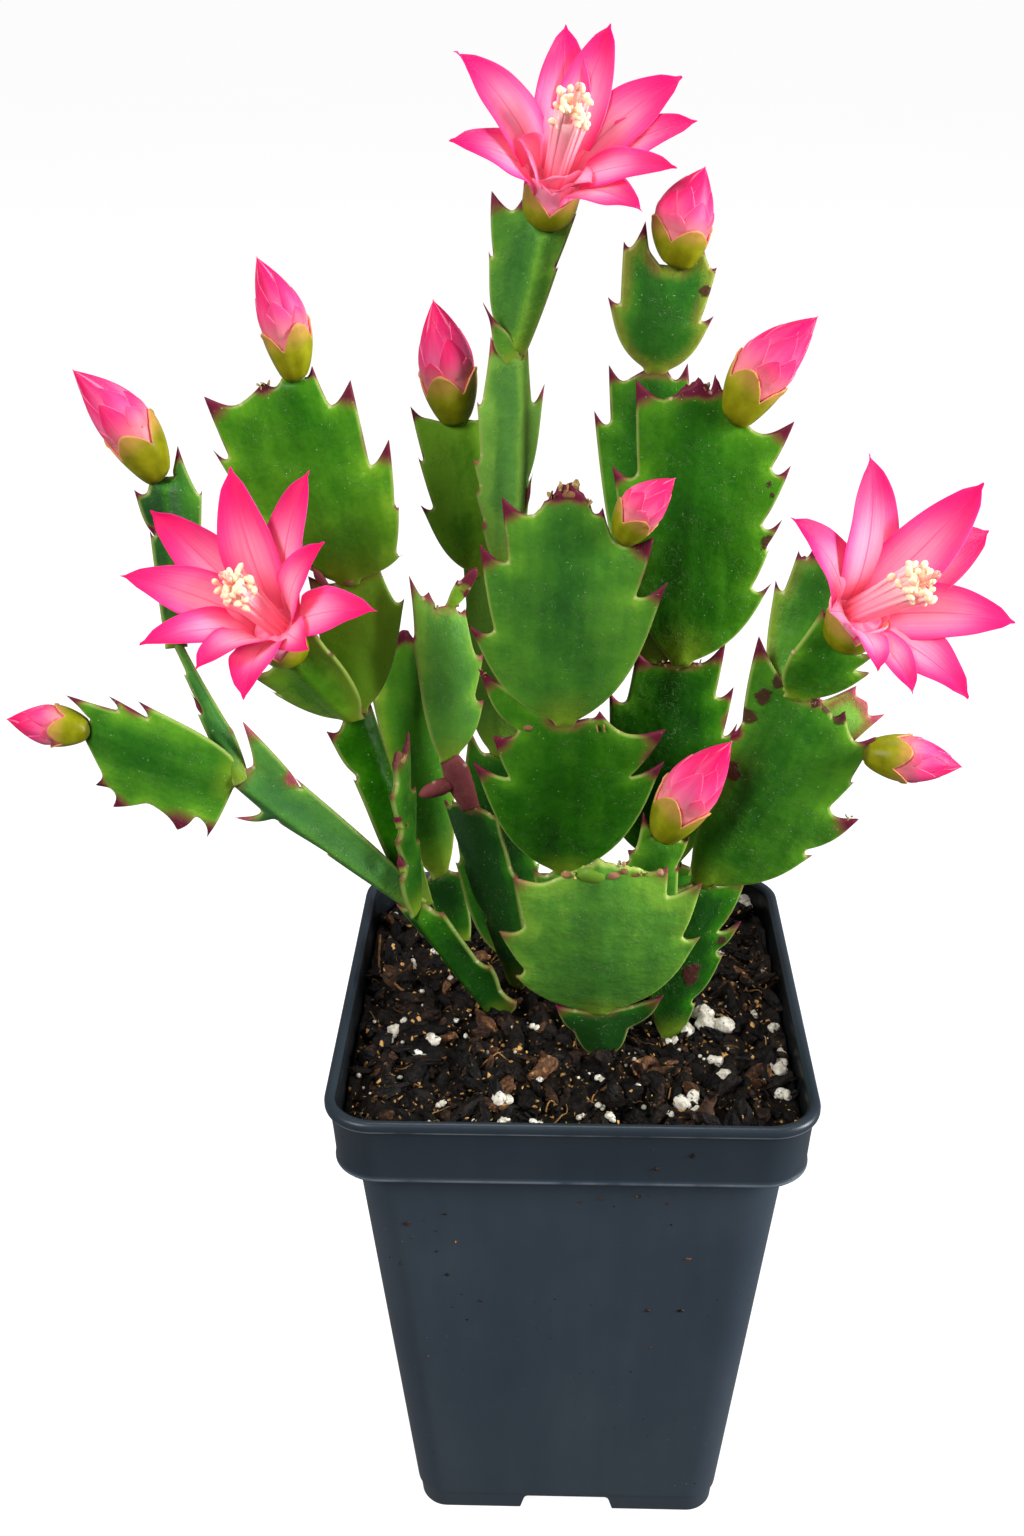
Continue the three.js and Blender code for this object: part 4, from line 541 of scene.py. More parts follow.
class Finish:
    """One material: its nodes come from add, and from the wires' operators."""

    def __init__(self, name):
        self.material = bpy.data.materials.new(name)
        self.material.use_nodes = True
        self.tree = self.material.node_tree
        self.tree.nodes.clear()

    def add(self, kind, settings, sockets, out=0):
        node = self.tree.nodes.new(kind)
        for key, value in settings.items():
            if key == "stops":
                ramp = node.color_ramp
                while len(ramp.elements) < len(value):
                    ramp.elements.new(1)
                for element, (position, colour) in zip(ramp.elements, value):
                    element.position, element.color = position, (*colour, 1)
            else:
                setattr(node, key, value)
        for key, value in sockets.items():
            socket = node.inputs[key]
            if isinstance(value, Wire):
                self.tree.links.new(value.socket, socket)
            elif isinstance(value, tuple) and socket.type == "RGBA":
                socket.default_value = (*value, 1)
            else:
                socket.default_value = value
        return Wire(self, node.outputs[out]) if node.outputs else node

    def painted(self, name):
        return self.add("ShaderNodeAttribute", {"attribute_name": name}, {}, "Fac")

    def painted_place(self, name):
        return self.add("ShaderNodeAttribute", {"attribute_name": name}, {}, "Vector")

    def part(self, vector, index):
        """One of a vector's three numbers."""
        return self.add("ShaderNodeSeparateXYZ", {}, {0: vector}, index)

    def place(self):
        """The place on the object, in metres."""
        return self.add("ShaderNodeTexCoord", {}, {}, "Object")

    def stretched(self, vector, scale):
        return self.add("ShaderNodeVectorMath", {"operation": "MULTIPLY"}, {0: vector, 1: scale})

    def noise(self, vector, scale, detail, roughness=0.5, warp=0.0):
        sockets = {"Vector": vector, "Scale": scale, "Detail": detail, "Roughness": roughness, "Distortion": warp}
        return self.add("ShaderNodeTexNoise", {}, sockets)

    def cells(self, vector, scale, out="Distance"):
        return self.add("ShaderNodeTexVoronoi", {}, {"Vector": vector, "Scale": scale}, out)

    def blend(self, share, first, second):
        """One colour passing into another."""
        return self.add("ShaderNodeMix", {"data_type": "RGBA"}, {0: share, 6: first, 7: second}, 2)

    def shades(self, value, *stops):
        """A colour looked up along stops, each (value, colour)."""
        return self.add("ShaderNodeValToRGB", {"stops": stops}, {0: value})

    def coat(self, colour, rough, relief, shine, flesh=None, glow=None):
        """The whole surface.

        relief: height, its depth and its strength; shine: the specular level; glow: colour, strength;
        flesh: how much light goes in, how far it goes by colour, and the depth that stands for
        """
        sockets = {"Base Color": colour, "Roughness": rough.held(), "Specular IOR Level": shine}
        if relief:
            height, depth, strength = relief
            bump = {"Height": height, "Distance": depth * MM, "Strength": strength}
            sockets["Normal"] = self.add("ShaderNodeBump", {}, bump)
        if flesh:
            weight, radii, depth = flesh
            sockets.update({"Subsurface Weight": weight, "Subsurface Radius": radii, "Subsurface Scale": depth * MM})
        if glow:
            sockets.update({"Emission Color": glow[0], "Emission Strength": glow[1]})
        shader = self.add("ShaderNodeBsdfPrincipled", {}, sockets)
        self.add("ShaderNodeOutputMaterial", {}, {"Surface": shader})
        return self.material


# ---------------------------------------------------------------- finishes


def stem_finish():
    """Waxy green flesh with pale margins, purple tooth tips, faint specks and scratches; painted shade on the midrib,
    painted light on the wings.
    """
    f = Finish("cactus_green")
    leaf = f.painted_place("leaf")
    rim, rib, share, tone, plum, dull = map(f.painted, ("rim", "rib", "share", "tone", "plum", "dull"))
    tip, stain, crown, dry, notch, flush = map(f.painted, ("tip", "stain", "crown", "dry", "notch", "flush"))
    cloud = f.noise(leaf, 0.11, 3, 0.55)
    grain = f.noise(leaf, 0.9, 4, 0.6)
    streak = f.noise(f.stretched(leaf, (0.5, 0.07, 1.0)), 1.0, 3, 0.55)
    glow = rib.rise(4.5, 0.3) * share.rise(0.62, 0.02)
    edge = rim.rise(5.0, 0.2)
    # painted shade: darker along the midrib and lighter on the wings, as light falls on a ridged face
    wing = rib.rise(1.5, 8.0) * 0.2 - 0.1
    hollow = notch.rise(0.0, 1.0)
    mottle = tone + cloud.swing(0.62) + streak.swing(0.32) + grain.swing(0.24)
    shade = mottle + glow * 0.2 + edge * 0.14 + hollow * 0.2 + wing
    colour = f.shades(
        shade,
        (0.0, (0.005, 0.045, 0.001)), (0.3, (0.016, 0.112, 0.001)), (0.55, (0.045, 0.185, 0.005)),
        (0.8, (0.09, 0.28, 0.009)), (1.0, (0.18, 0.4, 0.018)),
    )
    # grey-blue cast of dull segments: partly a waxy bloom, partly painted sheen; on branch it stands for the grey it
    # reflects
    colour = f.blend(dull * 0.2, colour, (0.15, 0.31, 0.18))
    foot = share.rise(0.2, -0.02) * rib.rise(8, 1)
    colour = f.blend(foot * 0.7, colour, (0.22, 0.33, 0.02))
    flushed = (flush * rim.rise(3.1, 0.0) * (0.3 + cloud * 1.1)).held()
    colour = f.blend(flushed * 0.8, colour, f.blend(streak.rise(0.35, 0.65), (0.3, 0.1, 0.05), (0.33, 0.32, 0.035)))
    colour = f.blend(rim.rise(0.8, 0.05) * 0.6, colour, (0.36, 0.44, 0.11))
    patchy = cloud * 0.5 + grain * 0.5
    line = rim.rise(0.5, 0.0) * share.rise(0.15, 1.0) * 0.2
    ruddy = plum.rise(1.5, 2.5)
    purple = ((tip + crown + line) * plum * (0.62 + patchy * 0.76) + ruddy).held()
    colour = f.blend(purple.rise(0.06, 0.36) * 0.6, colour, (0.19, 0.1, 0.03))
    wine = f.blend(dull.rise(0.5, 0.9), (0.125, 0.007, 0.032), (0.36, 0.06, 0.09))
    wine = f.blend(ruddy, wine, f.blend(cloud, (0.13, 0.022, 0.03), (0.3, 0.075, 0.085)))
    colour = f.blend(purple.rise(0.2, 0.62) * 0.96, colour, wine)
    colour = f.blend(notch.rise(0.87, 0.97) * 0.7, colour, (0.55, 0.45, 0.26))
    ragged = (stain + grain.swing(0.7)).rise(0.42, 0.62)
    colour = f.blend(ragged * 0.9, colour, (0.055, 0.012, 0.014))
    fleck = f.cells(f.stretched(leaf, (0.9, 0.9, 1.0)), 0.75)
    speck = fleck.rise(0.12, 0.05) * f.noise(leaf, 0.35, 2).rise(0.44, 0.6)
    dash_a = f.cells(f.stretched(leaf, (2.6, 0.45, 1.0)), 0.5)
    dash_b = f.cells(f.stretched(leaf, (0.5, 2.4, 1.0)), 0.46)
    dashes = (dash_a.rise(0.1, 0.04) + dash_b.rise(0.1, 0.04)) * f.noise(leaf, 0.2, 2).rise(0.46, 0.6)
    curl = (f.noise(leaf, 0.75, 2, 0.5, 0.6) - 0.5).size().rise(0.016, 0.003)
    curls = curl * f.noise(leaf, 0.16, 2).rise(0.44, 0.62) * rim.rise(0.8, 2.0)
    marks = ((speck + dashes * 0.8) * 0.6 + curls * (0.1 + dull * 0.2)).held()
    colour = f.blend(marks, colour, (0.4, 0.56, 0.26))
    scab = f.shades(grain, (0.3, (0.13, 0.055, 0.02)), (0.5, (0.34, 0.2, 0.075)), (0.72, (0.6, 0.42, 0.2)))
    colour = f.blend(dry, colour, scab)
    pores = f.noise(leaf, 2.2, 3, 0.6)
    swell = f.noise(leaf, 0.22, 2, 0.5)
    ripple = f.noise(leaf, 0.62, 2, 0.5, 2.2)
    height = pores * 0.14 + swell * 1.5 + ripple * (0.1 + dull * 0.3) + curls * 0.5 + grain * (dry * 2.0 + ragged * 0.8)
    rough = 0.27 + dull * 0.2 + grain.swing(0.2) + purple * 0.12 + dry * 0.35 + marks * 0.2
    return f.coat(colour, rough, (height, 0.42, 0.75), 0.075, flesh=(0.06, (0.5, 1.0, 0.15), 1.2))


def cup_finish():
    """The smooth olive cup under a bud or bloom, salmon at its lobed rim."""
    f = Finish("olive_cup")
    place = f.place()
    up, edge, seed, ribs = map(f.painted, ("up", "edge", "seed", "ribs"))
    cloud = f.noise(place, 260, 3, 0.55)
    shade = 0.44 + cloud.swing(0.75) + ribs.swing(0.07) + up * 0.12 + seed * 0.12
    colour = f.shades(
        shade,
        (0.1, (0.07, 0.095, 0.001)), (0.42, (0.16, 0.165, 0.003)),
        (0.7, (0.28, 0.285, 0.008)), (1.0, (0.46, 0.42, 0.035)),
    )
    colour = f.blend(up.rise(0.1, 0.0) * 0.75, colour, (0.075, 0.085, 0.012))
    blush = (up.rise(0.62, 1.15) * (0.3 + cloud * 0.8)).held()
    colour = f.blend(blush * 0.8, colour, (0.6, 0.24, 0.09))
    colour = f.blend(edge.rise(0.35, 0.05) * 0.7, colour, (0.7, 0.26, 0.16))
    height = f.noise(place, 900, 3) * 0.2 + cloud * 0.5 + ribs * 0.15
    return f.coat(colour, 0.3 + cloud.swing(0.15), (height, 0.25, 0.6), 0.09, flesh=(0.08, (1.0, 0.8, 0.2), 1.0))


def petal_finish():
    """Silky petals: pale in the middle, deep pink at edge and tip, with a fine midrib and veins along them."""
    f = Finish("petal_pink")
    petal, seed = f.painted_place("petal"), f.painted("seed")
    across, along = f.part(petal, 0).size(), f.part(petal, 1)
    cloud = f.noise(f.stretched(petal, (2.2, 1.6, 7.0)), 1.0, 3, 0.6)
    veins = f.noise(f.stretched(petal, (15.0, 1.0, 7.0)), 1.0, 3, 0.65)
    centre = across.rise(1.25, 0.1) * along.rise(1.0, 0.4) * along.rise(-0.35, 0.2)
    pale = (0.08 + centre * 0.66 + cloud.swing(0.26) + veins.swing(0.3) + seed * 0.12).held()
    colour = f.shades(
        pale,
        (0.0, (0.92, 0.018, 0.15)), (0.25, (0.93, 0.065, 0.24)), (0.5, (0.95, 0.17, 0.33)), (1.0, (0.97, 0.4, 0.5)),
    )
    colour = f.blend(along.rise(0.46, 0.98) * 0.92, colour, (0.88, 0.003, 0.1))
    colour = f.blend(across.rise(0.84, 1.0) * 0.6, colour, (0.9, 0.012, 0.15))
    rib = across.rise(0.055, 0.0) * along.rise(0.98, 0.7)
    colour = f.blend(rib * 0.5, colour, (0.88, 0.05, 0.24))
    colour = f.blend(along.rise(0.16, 0.03) * 0.55, colour, (0.92, 0.16, 0.24))
    height = veins * 0.5 - rib * 0.6 + f.noise(petal, 22, 2) * 0.06
    silk = (0.35, (1.0, 0.3, 0.5), 1.6)
    # the petals glow faintly in their own colour: painted light that lifts their shaded parts
    return f.coat(colour, 0.42 + cloud.swing(0.15), (height, 0.22, 0.6), 0.08, flesh=silk, glow=(colour, 0.1))


def tepal_finish():
    """The furled petals of a bud: salmon near the cup, deep pink at the tip, with pale edges."""
    f = Finish("bud_pink")
    petal, seed, up = f.painted_place("petal"), f.painted("seed"), f.painted("up")
    across, along = f.part(petal, 0).size(), f.part(petal, 1)
    cloud = f.noise(f.stretched(petal, (1.8, 1.4, 7.0)), 1.0, 3, 0.6)
    veins = f.noise(f.stretched(petal, (9.0, 0.8, 7.0)), 1.0, 3, 0.6)
    middle = across.rise(0.9, 0.1) * along.rise(1.0, 0.3)
    pale = (middle * 0.42 + cloud.swing(0.4) + veins.swing(0.22) + 0.2 + seed * 0.25).held()
    colour = f.shades(
        pale,
        (0.0, (0.86, 0.016, 0.13)), (0.35, (0.89, 0.06, 0.22)), (0.7, (0.92, 0.15, 0.32)), (1.0, (0.95, 0.3, 0.47)),
    )
    colour = f.blend((up.rise(0.6, 0.34) * (0.55 + cloud * 0.5)).held() * 0.8, colour, (0.84, 0.27, 0.22))
    colour = f.blend(up.rise(0.55, 0.96) * 0.86, colour, (0.86, 0.004, 0.11))
    colour = f.blend(across.rise(0.78, 0.92) * 0.3, colour, (0.8, 0.02, 0.12))
    colour = f.blend(across.rise(0.92, 1.0) * 0.45, colour, (0.96, 0.38, 0.52))
    height = veins * 0.3 + f.noise(petal, 18, 2) * 0.05
    return f.coat(colour, 0.36 + cloud.swing(0.14), (height, 0.2, 0.6), 0.09, flesh=(0.2, (1.0, 0.3, 0.4), 1.2))


def stamen_finish():
    """Pink filaments, cream anthers dusted with pollen, a salmon style: kinds 0, 1 and 2."""
    f = Finish("stamen")
    place, kind, up = f.place(), f.painted("kind"), f.painted("up")
    dust = f.noise(place, 2600, 3, 0.7)
    thread = f.shades(up, (0.0, (0.93, 0.2, 0.3)), (0.5, (0.95, 0.33, 0.42)), (1.0, (0.96, 0.5, 0.5)))
    pollen = f.shades(dust, (0.3, (0.93, 0.55, 0.33)), (0.5, (0.96, 0.69, 0.46)), (0.7, (0.99, 0.82, 0.62)))
    colour = f.blend(kind.rise(0.3, 0.6), thread, pollen)
    style = f.shades(dust, (0.3, (0.86, 0.24, 0.2)), (0.7, (0.94, 0.45, 0.36)))
    colour = f.blend(kind.rise(1.4, 1.6), colour, style)
    pulp = (0.2, (1.0, 0.5, 0.4), 1.0)
    # the stamens glow faintly in their own colour: painted light
    return f.coat(colour, 0.4 + kind * 0.25, (dust, 0.12, 0.6), 0.2, flesh=pulp, glow=(colour, 0.1))


def pot_finish():
    """Satin slate plastic with faint moulding streaks, dust and small splashes of soil; painted shade on the band and
    inside the lip, painted highlight lines.
    """
    f = Finish("pot_plastic")
    place = f.place()
    cloud = f.noise(place, 22, 4, 0.6)
    grain = f.noise(place, 900, 3, 0.6)
    wipe = f.noise(f.stretched(place, (1.0, 1.0, 0.12)), 90, 3, 0.6)
    colour = f.shades(
        cloud * 0.6 + wipe * 0.4,
        (0.3, (0.02, 0.031, 0.045)), (0.5, (0.026, 0.038, 0.053)), (0.72, (0.036, 0.049, 0.064)),
    )
    flecks = f.cells(place, 330)
    dirt = flecks.rise(0.16, 0.08) * f.noise(place, 60, 2).rise(0.56, 0.66)
    colour = f.blend(dirt * 0.85, colour, (0.035, 0.019, 0.011))
    lint = f.cells(f.stretched(place, (1.0, 1.0, 0.4)), 420).rise(0.06, 0.03) * f.noise(place, 40, 2).rise(0.5, 0.6)
    colour = f.blend(lint * 0.4, colour, (0.2, 0.22, 0.24))
    level = f.part(place, 2)
    # painted highlight: thin light lines along the lip's top edge and along the band's bead, broken up by the streaks
    lip_line = (level - (POT_HEIGHT - 2.0) * MM).size().rise(0.3 * MM, 0.1 * MM)
    bead_line = (level - (BAND_FOOT + 0.75) * MM).size().rise(0.4 * MM, 0.12 * MM)
    # painted shade: the band and the rim above the bead are darker than the wall below
    upper = level.rise((BAND_FOOT + 0.9) * MM, (BAND_FOOT + 1.8) * MM)
    colour = f.blend(upper * 0.5, colour, (0.007, 0.011, 0.016))
    painted_edge_highlight = (lip_line * 0.5 + bead_line * 0.3) * wipe.rise(0.25, 0.6)
    colour = f.blend(painted_edge_highlight, colour, (0.25, 0.29, 0.32))
    # the inside of the lip is known by how far it lies from the middles of the rim's rounded corners; it is painted in
    # deep shade there
    out_x, out_y = ((f.part(place, k).size() - (RIM_WIDTH / 2 - RIM_CORNER) * MM).most(0.0) for k in (0, 1))
    outward = (out_x * out_x + out_y * out_y) ** 0.5
    inner_edge = RIM_CORNER - LIP + 0.1
    inside = outward.rise((inner_edge + 0.15) * MM, inner_edge * MM)
    inside = inside * level.rise((BAND_FOOT + 2) * MM, (BAND_FOOT + 3) * MM)
    colour = f.blend(inside * 0.9, colour, (0.003, 0.004, 0.005))
    scuff = f.noise(f.stretched(place, (0.3, 0.3, 2.2)), 240, 3, 0.7)
    rough = 0.36 + cloud.swing(0.16) + wipe.swing(0.1) + dirt * 0.3 + scuff.swing(0.08)
    height = grain * 0.2 + scuff * 0.1 + dirt * 0.8
    return f.coat(colour, rough, (height, 0.1, 0.6), 0.34)


def soil_finish():
    """Dark composted bark: every chunk and crumb has its own brown."""
    f = Finish("potting_mix")
    place, tone, lit = f.place(), f.painted("tone"), f.painted("gold")
    crumb = f.add("ShaderNodeSeparateColor", {}, {0: f.cells(place, 1100, "Color")}, 0)
    cloud = f.noise(place, 260, 4, 0.65)
    fibre = f.noise(f.stretched(place, (1.0, 0.25, 1.0)), 1500, 3, 0.7)
    shade = (tone + cloud.swing(0.6) + crumb.swing(0.3) + fibre.swing(0.35)).held()
    colour = f.shades(
        shade,
        (0.0, (0.003, 0.0025, 0.0025)), (0.35, (0.012, 0.008, 0.006)), (0.6, (0.042, 0.02, 0.011)),
        (0.82, (0.12, 0.052, 0.022)), (1.0, (0.3, 0.15, 0.06)),
    )
    glint = (crumb.rise(0.93, 0.97) * f.noise(place, 420, 2).rise(0.5, 0.62)).most(lit)
    colour = f.blend(glint, colour, (0.6, 0.33, 0.1))
    height = cloud * 1.2 + crumb * 0.5 + fibre * 0.6
    return f.coat(colour, 0.62 + cloud.swing(0.3), (height, 0.7, 0.9), 0.15)


def perlite_finish():
    """White volcanic grains with dark pits."""
    f = Finish("perlite")
    place = f.place()
    cloud = f.noise(place, 500, 4, 0.6)
    pits = f.cells(place, 1300).rise(0.32, 0.15) * cloud.rise(0.46, 0.56)
    colour = f.shades(cloud, (0.3, (0.3, 0.26, 0.2)), (0.48, (0.58, 0.54, 0.45)), (0.66, (0.8, 0.77, 0.7)))
    colour = f.blend(pits * 0.85, colour, (0.06, 0.045, 0.035))
    height = cloud * 0.9 - pits * 1.3
    return f.coat(colour, 0.7 + cloud.swing(0.2), (height, 0.35, 0.9), 0.5)


def floor_finish():
    """A floor that glows nearly as white as the photograph's and takes only faint shadows."""
    f = Finish("pale_floor")
    cloud = f.noise(f.place(), 2.0, 2)
    colour = f.blend(cloud, (0.2, 0.2, 0.2), (0.24, 0.24, 0.24))
    return f.coat(colour, 0.8 + cloud.swing(0.1), None, 0.0, glow=((1, 1, 1), 0.93))


# ---------------------------------------------------------------- shaping kit


class Clay:
    """The points, faces and painted values of one piece, gathered in millimetres."""

    def __init__(self):
        self.parts = []
        self.faces = []
        self.count = 0

    def add(self, points, faces, **paint):
        points = np.asarray(points, float)
        self.parts.append((points, paint))
        self.faces += [tuple(self.count + int(i) for i in face) for face in faces]
        self.count += len(points)

    def cast(self, name, finish, slot, *nodes, smooth=True):
        mesh = bpy.data.meshes.new(name)
        points = np.concatenate([part for part, _ in self.parts]) * MM
        mesh.from_pydata(points.tolist(), [], self.faces)
        mesh.polygons.foreach_set("use_smooth", [smooth] * len(mesh.polygons))
        for key in sorted({key for _, paint in self.parts for key in paint}):
            flat = max(np.ndim(paint.get(key, 0)) for _, paint in self.parts) < 2
            shape = () if flat else (3,)
            values = [np.broadcast_to(paint.get(key, 0.0), (len(part), *shape)) for part, paint in self.parts]
            layer = mesh.attributes.new(key, "FLOAT" if flat else "FLOAT_VECTOR", "POINT")
            layer.data.foreach_set("value" if flat else "vector", np.concatenate(values).astype(np.float32).ravel())
        mesh.materials.append(finish)
        mesh.validate()
        piece = bpy.data.objects.new(name, mesh)
        bpy.context.collection.objects.link(piece)
        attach(piece, "root")
        if nodes:
            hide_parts(*nodes)
        return piece


def grid_faces(rows, columns, closed=False):
    """Faces of a net of points; closed joins each row's last point to its first."""
    faces = []
    for low in range(0, (rows - 1) * columns, columns):
        for j in range(columns if closed else columns - 1):
            k = (j + 1) % columns
            faces.append((low + j, low + k, low + columns + k, low + columns + j))
    return faces


def capped_faces(rows, columns):
    """Faces of closed rows of points, with one face over each end."""
    last = (rows - 1) * columns
    caps = [tuple(range(columns - 1, -1, -1)), tuple(range(last, last + columns))]
    return grid_faces(rows, columns, closed=True) + caps


def full_turn(count):
    """Even angles round a full turn."""
    return np.linspace(0, 2 * math.pi, count, endpoint=False)


def lerp(a, b, t):
    return a + (b - a) * t


def smooth_step(x, low, high):
    t = np.clip((np.asarray(x, float) - low) / (high - low), 0, 1)
    return t * t * (3 - 2 * t)


def waver(points, scale, seed):
    """Soft noise from -1 to 1 at each point."""
    return np.array([noise.noise(Vector((x * scale + seed, y * scale - seed, z * scale))) for x, y, z in points])


def tube(clay, path, radii, sides, **paint):
    """A round thread along a path, closed at both ends."""
    path = np.asarray(path, float)
    radii = np.broadcast_to(np.asarray(radii, float), (len(path),))
    ahead = np.gradient(path, axis=0)
    side = square_to((1, 0.13, 0.07) if abs(unit(ahead[0])[0]) < 0.9 else (0, 1, 0.1), unit(ahead[0]))
    angles = np.arange(sides) * 2 * math.pi / sides
    points = []
    for place, way, radius in zip(path, ahead, radii):
        way = unit(way)
        side = square_to(side, way)
        other = np.cross(way, side)
        points += [place + radius * (math.cos(a) * side + math.sin(a) * other) for a in angles]
    paint = {key: np.repeat(v, sides) if np.ndim(v) == 1 else v for key, v in paint.items()}
    clay.add(points, capped_faces(len(path), sides), **paint)


def ball(subdivisions):
    """The points and faces of a round blank."""
    blank = bmesh.new()
    bmesh.ops.create_icosphere(blank, subdivisions=subdivisions, radius=1)
    points = np.array([v.co[:] for v in blank.verts])
    faces = [tuple(v.index for v in face.verts) for face in blank.faces]
    blank.free()
    return points, faces


BLANKS = {level: ball(level) for level in (1, 2, 3)}


def lump(clay, centre, radii, turn, level, knobs, seed, **paint):
    """A knobbly grain: a round blank, dented by noise, stretched and turned."""
    points, faces = BLANKS[level]
    dents = waver(points, 1.3, seed) * knobs + waver(points, 3.1, seed + 7) * knobs * 0.45
    shaped = points * (1 + dents)[:, None] * np.asarray(radii)
    clay.add(shaped @ np.array(turn).T + np.asarray(centre), faces, **paint)


def any_turn(rng, tilt):
    """A random turn; a small tilt keeps it lying flat."""
    spin = Matrix.Rotation(rng.uniform(0, 2 * math.pi), 3, "Z")
    lean = Matrix.Rotation(rng.uniform(-1, 1) * tilt, 3, "X") @ Matrix.Rotation(rng.uniform(-1, 1) * tilt, 3, "Y")
    return np.array(spin @ lean)


# ---------------------------------------------------------------- stem segments


def direction(lean, toward):
    lean, toward = math.radians(lean), math.radians(toward)
    return np.array([math.sin(lean) * math.cos(toward), -math.sin(toward), math.cos(lean) * math.cos(toward)])


class Segment:
    """A flat stem segment's frame: its foot, and its directions along, across and to the front."""

    known = {}

    def __init__(self, name):
        self.name = name
        self.table = SEGMENTS[name]
        self.length, self.half = self.table["length"], self.table["width"] / 2
        self.along = direction(self.table["lean"], self.table["toward"])
        front = square_to((0, -1, 0), self.along)
        turn = math.radians(self.table.get("turn", 0))
        self.front = front * math.cos(turn) + np.cross(self.along, front) * math.sin(turn)
        self.across = np.cross(self.along, self.front)
        if "root" in self.table:
            self.foot = np.array([*self.table["root"], SOIL_LEVEL])
        else:
            self.foot = segment_of(self.table["on"]).seat(self.table.get("seat", (1, 0, 0)))

    def place(self, share, side, height):
        share, side, height = (np.asarray(v, float)[..., None] for v in (share, side, height))
        bulge = 4 * share * (1 - share)
        rise = self.along * share * self.length
        return self.foot + rise + self.across * side + self.front * (height + self.table.get("arch", 0) * bulge)

    def seat(self, spot):
        share, out, height = spot
        return self.place(share, out * self.half, height)


def segment_of(name):
    if name not in Segment.known:
        Segment.known[name] = Segment(name)
    return Segment.known[name]


OUTLINE_STEP = 0.62
INNER_STEP = 1.0
INNER_START = 1.45
ROW_SHARE = 0.866  # the rows of a net of even triangles, by their sides
MARGIN_DEPTHS = (0.16, 0.42, 0.9)
MARGIN_ROUND = 0.55
ROOT_SUNK = 6
SEAT_SUNK = 1.6
CROWN_PEAK = 1.2
CROWN_SHOULDER = 0.8
RISE_STEPS = 12
HOLLOW_STEPS = 6
EASINGS = 2
TIP_EASING = 0.15
SHORT_TIP = 1.2
LONG_TIP = 6.5
RAGGED_FROM = 20  # shorter segments have an even crown
RAGGED_HEIGHT = 0.5
RAGGED_REACH = 6
KEEL_REACH = 2.1
NOTCH_REACH = 4.5
CROWN_REACH = 2.6
BACK_GRAIN = (900, 0, 0)  # sets the back's specks apart from the front's


def bezier(a, b, c, d, t):
    s = 1 - t
    return a * s ** 3 + 3 * b * s * s * t + 3 * c * s * t * t + d * t ** 3


def side_path(teeth, length, half):
    """One side's outline from the foot to the joint, as (out, along), its tooth tips with their reach, its notches."""
    neck = min(NECK / half, NARROW_NECK)
    path, tips, notches, (along, out) = [np.array([neck, 0.0])], [], [], (0.0, neck)
    for tip_along, tip_out, notch_along, notch_out in teeth:
        risen, grown = tip_along - along, tip_out - out
        bulge = 0.75 if grown > 0.4 else 0.4
        points = [
            (out, along), (out + grown * bulge, along + risen * 0.25),
            (out + grown * 0.8, along + risen * 0.7), (tip_out, tip_along),
        ]
        points = [np.array(p) for p in points]
        path += [bezier(*points, t) for t in np.linspace(0, 1, RISE_STEPS + 1)[1:]]
        notch = np.array([notch_out, notch_along])
        proud = abs(tip_out - notch_out)
        stands = math.hypot(proud * half, (tip_along - notch_along) * length)
        tips.append((points[3], min(max(stands, SHORT_TIP), 2.2 * proud * half + 1, LONG_TIP)))
        hollow = np.array([-0.12 * proud, -0.03])
        shares = np.linspace(0, 1, HOLLOW_STEPS + 1)[1:]
        path += [lerp(points[3], notch, t) + hollow * math.sin(math.pi * t) for t in shares]
        notches.append(notch)
        along, out = notch_along, notch_out
    path.append(np.array([neck, 1.0]))
    scale = np.array([half, length])
    return [p * scale for p in path], [(p * scale, reach) for p, reach in tips], [p * scale for p in notches]


def evened(path, step, kept):
    """The path with points at even steps, its sharp places kept."""
    path = np.array(path)
    lengths = np.linalg.norm(np.diff(path, axis=0), axis=1)
    reached = np.concatenate([[0], np.cumsum(lengths)])
    marks = sorted({0.0, reached[-1], *(reached[i] for i in kept)})
    shares = []
    for low, high in zip(marks, marks[1:]):
        count = max(1, round((high - low) / step))
        shares += [low + (high - low) * i / count for i in range(count)]
    shares.append(reached[-1])
    return np.stack([np.interp(shares, reached, path[:, k]) for k in (0, 1)], axis=1)


def topped(name, *groups):
    """Whether something of these tables grows from the middle of a segment's top."""
    grown = [table for group in groups for table in group.values() if table.get("on") == name]
    seats = [table.get("seat", (1, 0, 0)) for table in grown]
    return any(share > 0.93 and abs(out) < 0.3 for share, out, _ in seats)


def bare_top(name):
    return not topped(name, SEGMENTS, BUDS, BLOOMS)


def crown_purple(name):
    """How purple a segment's top is: most where nothing grows on it, not at all under a bud or bloom."""
    if name in PALE_CROWNS:
        return 0.3
    return 1.0 if bare_top(name) else 0.0 if topped(name, BUDS, BLOOMS) else 0.5


def at_tips(path, tips):
    """Which points of a path are tooth tips."""
    return np.array([any(np.allclose(p, tip) for tip, _ in tips) for p in path])


